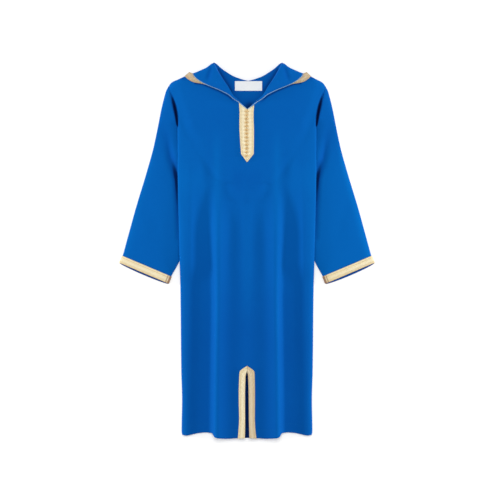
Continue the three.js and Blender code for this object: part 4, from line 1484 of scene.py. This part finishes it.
@dataclass
class Graph:
    """A short way to add shader nodes to a tree and join them."""

    tree: NodeTree

    def node(self, kind: str, *values: Value, **settings: object) -> Node:
        """Adds a node.

        Args:
            kind: its type, without the words ShaderNode in front.
            values: what its inputs hold or are joined to, in order; None leaves one as it is.
            settings: its properties.

        Returns:
            The node.
        """
        made = self.tree.nodes.new(f"ShaderNode{kind}")
        for name, setting in settings.items():
            setattr(made, name, setting)
        for number, value in enumerate(values):
            if value is not None:
                self.put(made.inputs[number], value)
        return made

    def put(self, socket: Socket, value: Value) -> None:
        """Joins a socket to another one, or sets what it holds.

        Args:
            socket: the socket.
            value: what goes into it.
        """
        if isinstance(value, Socket):
            self.tree.links.new(value, socket)
        else:
            socket.default_value = value

    def uv(self) -> Socket:
        """The piece's own UV, in metres along and across it."""
        return self.node("UVMap", uv_map="cloth").outputs["UV"]

    def spot(self) -> Socket:
        """The point's place on the object."""
        return self.node("TexCoord").outputs["Object"]

    def mark(self, name: str) -> Socket:
        """One of MARKS."""
        return self.node("Attribute", attribute_name=name).outputs["Fac"]

    def math(self, operation: str, *values: Value) -> Socket:
        """A sum worked out point by point."""
        return self.node("Math", *values, operation=operation).outputs[0]

    def less(self, first: Value, second: Value) -> Socket:
        """The first value less the second."""
        return self.math("SUBTRACT", first, second)

    def over(self, first: Value, second: Value) -> Socket:
        """The first value over the second."""
        return self.math("DIVIDE", first, second)

    def line(self, value: Value, slope: Value, start: Value) -> Socket:
        """The value times a slope, from a start."""
        return self.math("MULTIPLY_ADD", value, slope, start)

    def times(self, *values: Value) -> Socket:
        """The product of all the values.

        Args:
            values: sockets or numbers.

        Returns:
            The product.
        """
        product = values[0]
        for value in values[1:]:
            product = self.math("MULTIPLY", product, value)
        return product

    def plus(self, *values: Value) -> Socket:
        """The sum of all the values.

        Args:
            values: sockets or numbers.

        Returns:
            The sum.
        """
        total = values[0]
        for value in values[1:]:
            total = self.math("ADD", total, value)
        return total

    def band(self, value: Value, low: float, high: float, at_low: float = 0, at_high: float = 1) -> Socket:
        """A smooth change from at_low to at_high as the value goes from low to high."""
        made = self.node("MapRange", value, low, high, at_low, at_high, interpolation_type="SMOOTHSTEP")
        return made.outputs[0]

    def wave(self, value: Value, pitch: Value) -> Socket:
        """A cosine wave between 0 and 1, one crest to each pitch."""
        return self.line(self.math("COSINE", self.times(self.over(value, pitch), 2 * math.pi)), 0.5, 0.5)

    def noise(self, vector: Socket, scale: Value, detail: float = 2, roughness: float = 0.5) -> Socket:
        """Cloudy noise around a half."""
        made = self.node("TexNoise", vector, None, scale, detail, roughness)
        return made.outputs["Fac"]

    def mix(self, share: Value, first: Value, second: Value) -> Socket:
        """A colour between two, each a socket or three numbers.

        Args:
            share: how much of the second there is.
            first: a colour.
            second: the other one.

        Returns:
            The colour.
        """
        made = self.node("Mix", share, data_type="RGBA")
        for socket, value in ((made.inputs[6], first), (made.inputs[7], second)):
            self.put(socket, (*value, 1) if isinstance(value, tuple) else value)
        return made.outputs[2]

    def parts(self, vector: Socket) -> tuple[Socket, Socket, Socket]:
        """The three numbers of a vector."""
        made = self.node("SeparateXYZ", vector)
        return made.outputs[0], made.outputs[1], made.outputs[2]

    def group(self, tree: NodeTree, **inputs: Value) -> Node:
        """Places a node group and fills its inputs.

        Args:
            tree: the group.
            inputs: what its inputs hold, by name.

        Returns:
            The node.
        """
        made = self.node("Group", node_tree=tree)
        for name, value in inputs.items():
            self.put(made.inputs[name], value)
        return made

    def bump(self, height: Socket, distance: float, strength: float = 1.0) -> Socket:
        """A normal from a height, in metres at a height of 1.

        Args:
            height: the height.
            distance: how high a height of 1 is.
            strength: how much of it shows.

        Returns:
            The normal.
        """
        made = self.node("Bump")
        made.inputs["Strength"].default_value = strength
        made.inputs["Distance"].default_value = distance
        self.put(made.inputs["Height"], height)
        return made.outputs["Normal"]


def new_group(
    name: str, inputs: dict[str, str], outputs: dict[str, str]
) -> tuple[Graph, dict[str, Socket], Node]:
    """An empty shader node group.

    Args:
        name: the group's name.
        inputs: each input's name and its kind, Float, Color or Vector.
        outputs: the same for the outputs.

    Returns:
        Its graph, its input sockets by name and its output node.
    """
    tree = bpy.data.node_groups.new(name, "ShaderNodeTree")
    for way, sockets in (("INPUT", inputs), ("OUTPUT", outputs)):
        for label, kind in sockets.items():
            tree.interface.new_socket(name=label, in_out=way, socket_type=f"NodeSocket{kind}")
    given = tree.nodes.new("NodeGroupInput")
    result = tree.nodes.new("NodeGroupOutput")
    return Graph(tree), {socket.name: socket for socket in given.outputs if socket.name}, result


def thread_grain() -> NodeTree:
    """Fine threads: two square sets of waves, broken up by noise, which Crinkle makes stronger.

    Returns:
        The node group.
    """
    inputs = {"Vector": "Vector", "Pitch": "Float", "Crinkle": "Float"}
    graph, given, result = new_group("thread grain", inputs, {"Height": "Float", "Fleck": "Float"})
    vector, pitch, crinkle = given["Vector"], given["Pitch"], given["Crinkle"]
    x, y, _ = graph.parts(vector)
    scale = graph.over(1.0, pitch)
    drift = graph.noise(vector, graph.times(scale, 0.35), 2)
    sway = graph.times(graph.less(drift, 0.5), pitch, crinkle, 4.0)
    warp = graph.wave(graph.plus(x, sway), pitch)
    weft = graph.wave(graph.plus(y, sway), graph.times(pitch, 1.15))
    rough = graph.noise(vector, graph.times(scale, 0.8), 3, 0.6)
    woven = graph.math("MAXIMUM", warp, weft)
    graph.put(result.inputs["Height"], graph.plus(graph.times(woven, 0.5), graph.times(rough, crinkle)))
    graph.put(result.inputs["Fleck"], graph.band(rough, 0.3, 0.7))
    return graph.tree


def cloth_tone() -> NodeTree:
    """Slow changes of tone over the cloth: broad clouds and small ones, around 1.

    Returns:
        The node group.
    """
    graph, given, result = new_group("cloth tone", {"Vector": "Vector", "Amount": "Float"}, {"Tone": "Float"})
    broad = graph.noise(given["Vector"], 7.0, 2)
    small = graph.noise(given["Vector"], 60.0, 3, 0.6)
    both = graph.plus(graph.less(broad, 0.5), graph.times(graph.less(small, 0.5), 0.5))
    graph.put(result.inputs["Tone"], graph.line(both, given["Amount"], 1.0))
    return graph.tree


def stitch_run() -> NodeTree:
    """A row of stitches where Away reaches Place: short threads with gaps, each in its own dent.

    Returns:
        The node group.
    """
    inputs = {name: "Float" for name in ("Along", "Away", "Place", "Pitch", "Width")}
    graph, given, result = new_group("stitch run", inputs, {"Thread": "Float", "Dent": "Float"})
    off = graph.math("ABSOLUTE", graph.less(given["Away"], given["Place"]))
    near = graph.over(off, given["Width"])
    dash = graph.band(graph.wave(given["Along"], given["Pitch"]), 0.25, 0.5)
    graph.put(result.inputs["Thread"], graph.times(graph.band(near, 0.6, 1.0, 1, 0), dash))
    graph.put(result.inputs["Dent"], graph.band(near, 0.8, 2.5, 1, 0))
    return graph.tree


def edge_wear() -> NodeTree:
    """Rubbed places: broken patches within Reach of an edge, from how far Away the edge is.

    Returns:
        The node group.
    """
    inputs = {"Vector": "Vector", "Away": "Float", "Reach": "Float"}
    graph, given, result = new_group("edge wear", inputs, {"Wear": "Float"})
    near = graph.band(graph.over(given["Away"], given["Reach"]), 0.0, 1.0, 1, 0)
    patches = graph.band(graph.noise(given["Vector"], 420.0, 3, 0.65), 0.42, 0.68)
    graph.put(result.inputs["Wear"], graph.times(near, patches))
    return graph.tree


@dataclass(frozen=True)
class Effects:
    """The shared node groups, built once."""

    grain: NodeTree
    tone: NodeTree
    stitch: NodeTree
    wear: NodeTree

    @classmethod
    def build(cls) -> Effects:
        """Builds all the groups."""
        return cls(thread_grain(), cloth_tone(), stitch_run(), edge_wear())


@dataclass(frozen=True)
class Finish:
    """What every finish holds: its name, roughness and the shader's fixed values."""

    name: str
    roughness: float
    specular: float
    sheen: float
    metallic: float = 0.0

    def start(self) -> tuple[Material, Graph, Node]:
        """A new material, its graph and its shader with the fixed values set.

        Returns:
            The material, its graph and its shader.
        """
        material = bpy.data.materials.new(self.name)
        material.use_nodes = True
        shader = material.node_tree.nodes["Principled BSDF"]
        shader.inputs["Specular IOR Level"].default_value = self.specular
        shader.inputs["Sheen Weight"].default_value = self.sheen
        shader.inputs["Metallic"].default_value = self.metallic
        return material, Graph(material.node_tree), shader

    def dress(self, graph: Graph, shader: Node, colour: Socket, rough: Socket, normal: Socket) -> None:
        """Joins what changes over the surface to the shader."""
        for name, socket in (("Base Color", colour), ("Roughness", rough), ("Normal", normal)):
            graph.put(shader.inputs[name], socket)


@dataclass(frozen=True)
class Crepe(Finish):
    """Matt blue crepe: a fine crinkled grain, slow changes of tone and a blind-stitched turned edge.

    Its colour goes from deep to light with its random tone and the mark pale's painted light and shade,
    and past them to the painted highlight crest and to the painted shade hollow and crease. The dents
    of the hem's stitches are painted darker, as painted shade.
    """

    name: str = "crepe"
    roughness: float = 0.86
    specular: float = 0.04
    sheen: float = 0.01
    light: Colour = (0.0, 0.107, 0.410)
    deep: Colour = (0.0, 0.078, 0.350)
    # crest is a painted highlight, hollow and crease are painted shade, dent is painted shade in stitch dents
    crest: Colour = (0.0, 0.128, 0.47)
    hollow: Colour = (0.0, 0.016, 0.10)
    crease: Colour = (0.0, 0.0015, 0.022)
    dent: Colour = (0.0, 0.06, 0.26)
    stitch: Colour = (0.005, 0.16, 0.55)
    rubbed: Colour = (0.05, 0.2, 0.6)
    pitch: float = 0.00055
    turning: float = 0.022  # from a hem's edge up to its row of stitches

    def build(self, effects: Effects) -> Material:
        """Builds the material.

        Args:
            effects: the shared node groups.

        Returns:
            The material.
        """
        material, graph, shader = self.start()
        spot, away, pale = graph.spot(), graph.mark("hem"), graph.mark("pale")
        tone = graph.group(effects.tone, Vector=spot, Amount=0.12).outputs["Tone"]
        grain = graph.group(effects.grain, Vector=spot, Pitch=self.pitch, Crinkle=0.9).outputs
        row = {"Along": graph.parts(spot)[0], "Away": away, "Place": self.turning}
        hem = graph.group(effects.stitch, **row, Pitch=0.0045, Width=0.0005).outputs
        near_edge = graph.plus(away, 1e-5)
        worn = graph.group(effects.wear, Vector=spot, Away=near_edge, Reach=0.0015).outputs["Wear"]
        fleck = graph.line(grain["Fleck"], 0.10, -0.05)
        # the random tone and the mark pale's painted light and shade move the colour from deep to light
        share = graph.plus(graph.times(graph.less(tone, 1.0), 3.0), graph.times(pale, 0.5), 0.5, fleck)
        share = graph.math("MINIMUM", graph.math("MAXIMUM", share, 0.0), 1.0)
        colour = graph.mix(share, self.deep, self.light)
        # painted highlight on crests, painted shade in hollows, creases and stitch dents; then real stitches
        # and wear
        for amount, other in (
            (graph.band(pale, 0.8, 2.0, 0, 1), self.crest),
            (graph.band(pale, -3.2, -0.9, 1, 0), self.hollow),
            (graph.band(pale, -6.5, -3.0, 1, 0), self.crease),
            (graph.times(hem["Dent"], 0.28), self.dent),
            (graph.times(hem["Thread"], 0.45), self.stitch),
            (graph.times(worn, 0.10), self.rubbed),
        ):
            colour = graph.mix(amount, colour, other)
        height = graph.plus(grain["Height"], graph.times(hem["Dent"], -1.6), hem["Thread"])
        rough = graph.line(grain["Fleck"], 0.08, self.roughness - 0.04)
        self.dress(graph, shader, colour, rough, graph.bump(height, 0.00009, 0.7))
        return material


@dataclass(frozen=True)
class Braid(Finish):
    """Flat braid of cream and gold thread.

    Raised ribs run its whole length, each of slanted threads that lean the other way on the next rib.
    A tan line runs beside each selvedge, and a row of stitches holds the outer one down. The mark pale
    takes it towards brown, at -1, where it lies in shade or is joined.
    """

    name: str = "braid"
    roughness: float = 0.55
    specular: float = 0.25
    sheen: float = 0.1
    metallic: float = 0.05
    rib: float = 0.0023
    half_width: float = 0.009
    thread: float = 0.0009
    cream: Colour = (0.87, 0.78, 0.53)
    highlight: Colour = (0.95, 0.90, 0.69)
    gold: Colour = (0.74, 0.58, 0.31)
    tan: Colour = (0.52, 0.37, 0.18)
    brown: Colour = (0.22, 0.09, 0.05)

    def _bands(self, graph: Graph, off_centre: Socket) -> Socket:
        """The colours from the braid's middle line out to its selvedges.

        Args:
            graph: the material's graph.
            off_centre: the distance from the braid's middle line.

        Returns:
            The colour.
        """
        ramp = graph.node("ValToRGB", graph.over(off_centre, self.half_width * 1.12))
        stops = (
            (0.0, self.highlight), (0.22, self.cream), (0.46, self.cream), (0.55, self.tan),
            (0.64, self.cream), (0.82, self.gold), (1.0, self.tan),
        )
        table = ramp.color_ramp.elements
        while len(table) < len(stops):
            table.new(0.5)
        for stop, (position, colour) in zip(table, stops):
            stop.position, stop.color = position, (*colour, 1)
        return ramp.outputs["Color"]

    def build(self, effects: Effects) -> Material:
        """Builds the material.

        Args:
            effects: the shared node groups.

        Returns:
            The material.
        """
        material, graph, shader = self.start()
        spot = graph.spot()
        along, away, _ = graph.parts(graph.uv())
        off_centre = graph.math("ABSOLUTE", graph.less(away, self.half_width))
        rib = graph.wave(off_centre, self.rib)
        lean = graph.math("SIGN", graph.math("SINE", graph.times(off_centre, math.pi / self.rib)))
        thread = graph.wave(graph.plus(along, graph.times(away, lean, 0.8)), self.thread)
        tone = graph.group(effects.tone, Vector=spot, Amount=0.5).outputs["Tone"]
        row = {"Along": along, "Away": away, "Place": 0.0011}
        sewn = graph.group(effects.stitch, **row, Pitch=0.0032, Width=0.00035).outputs
        worn = graph.group(effects.wear, Vector=spot, Away=away, Reach=0.0012).outputs["Wear"]
        colour = self._bands(graph, off_centre)
        for amount, other in (
            (graph.times(graph.less(1.0, rib), 0.5), self.gold),
            (graph.times(graph.less(1.0, thread), 0.22), self.tan),
            (graph.band(tone, 0.98, 1.15, 0, 0.35), self.gold),
            (graph.times(sewn["Thread"], 0.7), self.highlight),
            (graph.times(worn, 0.3), self.cream),
            (graph.band(graph.mark("pale"), -1, 0, 0.86, 0), self.brown),
        ):
            colour = graph.mix(amount, colour, other)
        height = graph.plus(rib, graph.times(thread, 0.45), graph.times(sewn["Dent"], -0.5))
        rough = graph.line(thread, -0.14, self.roughness + 0.1)
        self.dress(graph, shader, colour, rough, graph.bump(height, 0.00035, 0.9))
        return material


@dataclass(frozen=True)
class Cord(Finish):
    """Twisted gold cord of the knots: three strands that wind round, with painted shade between them."""

    name: str = "cord"
    roughness: float = 0.42
    specular: float = 0.35
    sheen: float = 0.05
    metallic: float = 0.15
    gold: Colour = (0.78, 0.53, 0.22)
    # deep is painted shade between the strands, shine is a painted highlight in random patches
    deep: Colour = (0.34, 0.18, 0.06)
    shine: Colour = (0.9, 0.7, 0.4)
    twist: float = 0.0035

    def build(self, effects: Effects) -> Material:
        """Builds the material.

        Args:
            effects: the shared node groups.

        Returns:
            The material.
        """
        material, graph, shader = self.start()
        along, turn, _ = graph.parts(graph.uv())
        strand = graph.wave(graph.plus(graph.over(along, self.twist), turn), 1 / 3)
        tone = graph.group(effects.tone, Vector=graph.spot(), Amount=0.6).outputs["Tone"]
        # painted shade between the strands, then patches of painted shine
        colour = graph.mix(graph.band(strand, 0.05, 0.6), self.deep, self.gold)
        colour = graph.mix(graph.band(tone, 0.9, 1.2, 0, 0.4), colour, self.shine)
        rough = graph.line(strand, -0.15, self.roughness + 0.12)
        self.dress(graph, shader, colour, rough, graph.bump(strand, 0.0002, 0.9))
        return material


@dataclass(frozen=True)
class Tape(Finish):
    """White satin tape of the label: close weft lines and a plain selvedge, with nothing printed."""

    name: str = "tape"
    roughness: float = 0.62
    specular: float = 0.3
    sheen: float = 0.05
    white: Colour = (0.88, 0.90, 0.91)
    # shade is the darker grey of the random tone and the selvedges, and the painted shade in the stitch dents
    shade: Colour = (0.70, 0.73, 0.76)
    thread: Colour = (0.95, 0.96, 0.97)
    half_length: float = 0.012
    half_width: float = 0.0345

    def build(self, effects: Effects) -> Material:
        """Builds the material.

        Args:
            effects: the shared node groups.

        Returns:
            The material.
        """
        material, graph, shader = self.start()
        uv = graph.uv()
        x, y, _ = graph.parts(uv)
        grain = graph.group(effects.grain, Vector=uv, Pitch=0.0004, Crinkle=0.15).outputs
        tone = graph.group(effects.tone, Vector=uv, Amount=0.4).outputs["Tone"]
        selvedge = graph.less(self.half_length, graph.math("ABSOLUTE", y))
        end = graph.less(self.half_width, graph.math("ABSOLUTE", x))
        row = {"Along": y, "Away": end, "Place": 0.0016}
        sewn = graph.group(effects.stitch, **row, Pitch=0.0022, Width=0.0003).outputs
        colour = graph.mix(graph.band(tone, 0.95, 1.1, 0.25, 0), self.white, self.shade)
        for amount, other in (
            (graph.band(selvedge, 0.0004, 0.0009, 0.5, 0), self.shade),
            (graph.times(sewn["Dent"], 0.35), self.shade),
            (sewn["Thread"], self.thread),
        ):
            colour = graph.mix(amount, colour, other)
        height = graph.plus(grain["Height"], graph.times(sewn["Dent"], -1.2))
        rough = graph.line(grain["Fleck"], 0.1, self.roughness)
        self.dress(graph, shader, colour, rough, graph.bump(height, 0.00012, 0.6))
        return material


@dataclass(frozen=True)
class Paper(Finish):
    """The pale floor: paper on a table lit a little from below."""

    name: str = "paper"
    roughness: float = 0.95
    specular: float = 0.05
    sheen: float = 0.0
    colour: Colour = (0.80, 0.80, 0.80)
    cloud: Colour = (0.85, 0.85, 0.86)
    glow: float = 0.27

    def build(self) -> Material:
        """Builds the material.

        Returns:
            The material.
        """
        material, graph, shader = self.start()
        shade = graph.band(graph.noise(graph.spot(), 3.0, 2), 0.2, 0.8, 0, 0.02)
        graph.put(shader.inputs["Base Color"], graph.mix(shade, self.colour, self.cloud))
        shader.inputs["Roughness"].default_value = self.roughness
        shader.inputs["Emission Color"].default_value = (1, 1, 1, 1)
        shader.inputs["Emission Strength"].default_value = self.glow
        return material


def main() -> None:
    """Builds the garment piece by piece and sets the studio round it."""
    logging.basicConfig(level=logging.INFO, format="%(name)s %(message)s")
    effects = Effects.build()
    crepe, braid = Crepe().build(effects), Braid().build(effects)
    cord, tape = Cord().build(effects), Tape().build(effects)
    # the piping's cord: deep is painted shade between its strands, shine a painted highlight in patches
    silver = Cord(
        name="silver_cord",
        gold=(0.23, 0.42, 0.64),
        deep=(0.12, 0.22, 0.37),
        shine=(0.42, 0.60, 0.78),
        metallic=0.1,
    ).build(effects)
    Body().build(crepe)
    for side in Side:
        Sleeve(side).build(crepe, braid)
    Hood().build(crepe, braid, silver)
    Fastening().build(braid, cord)
    HemSlit().build(braid)
    NeckLabel().build(tape)
    Studio().build(Paper().build())


if __name__ == "__main__":
    main()
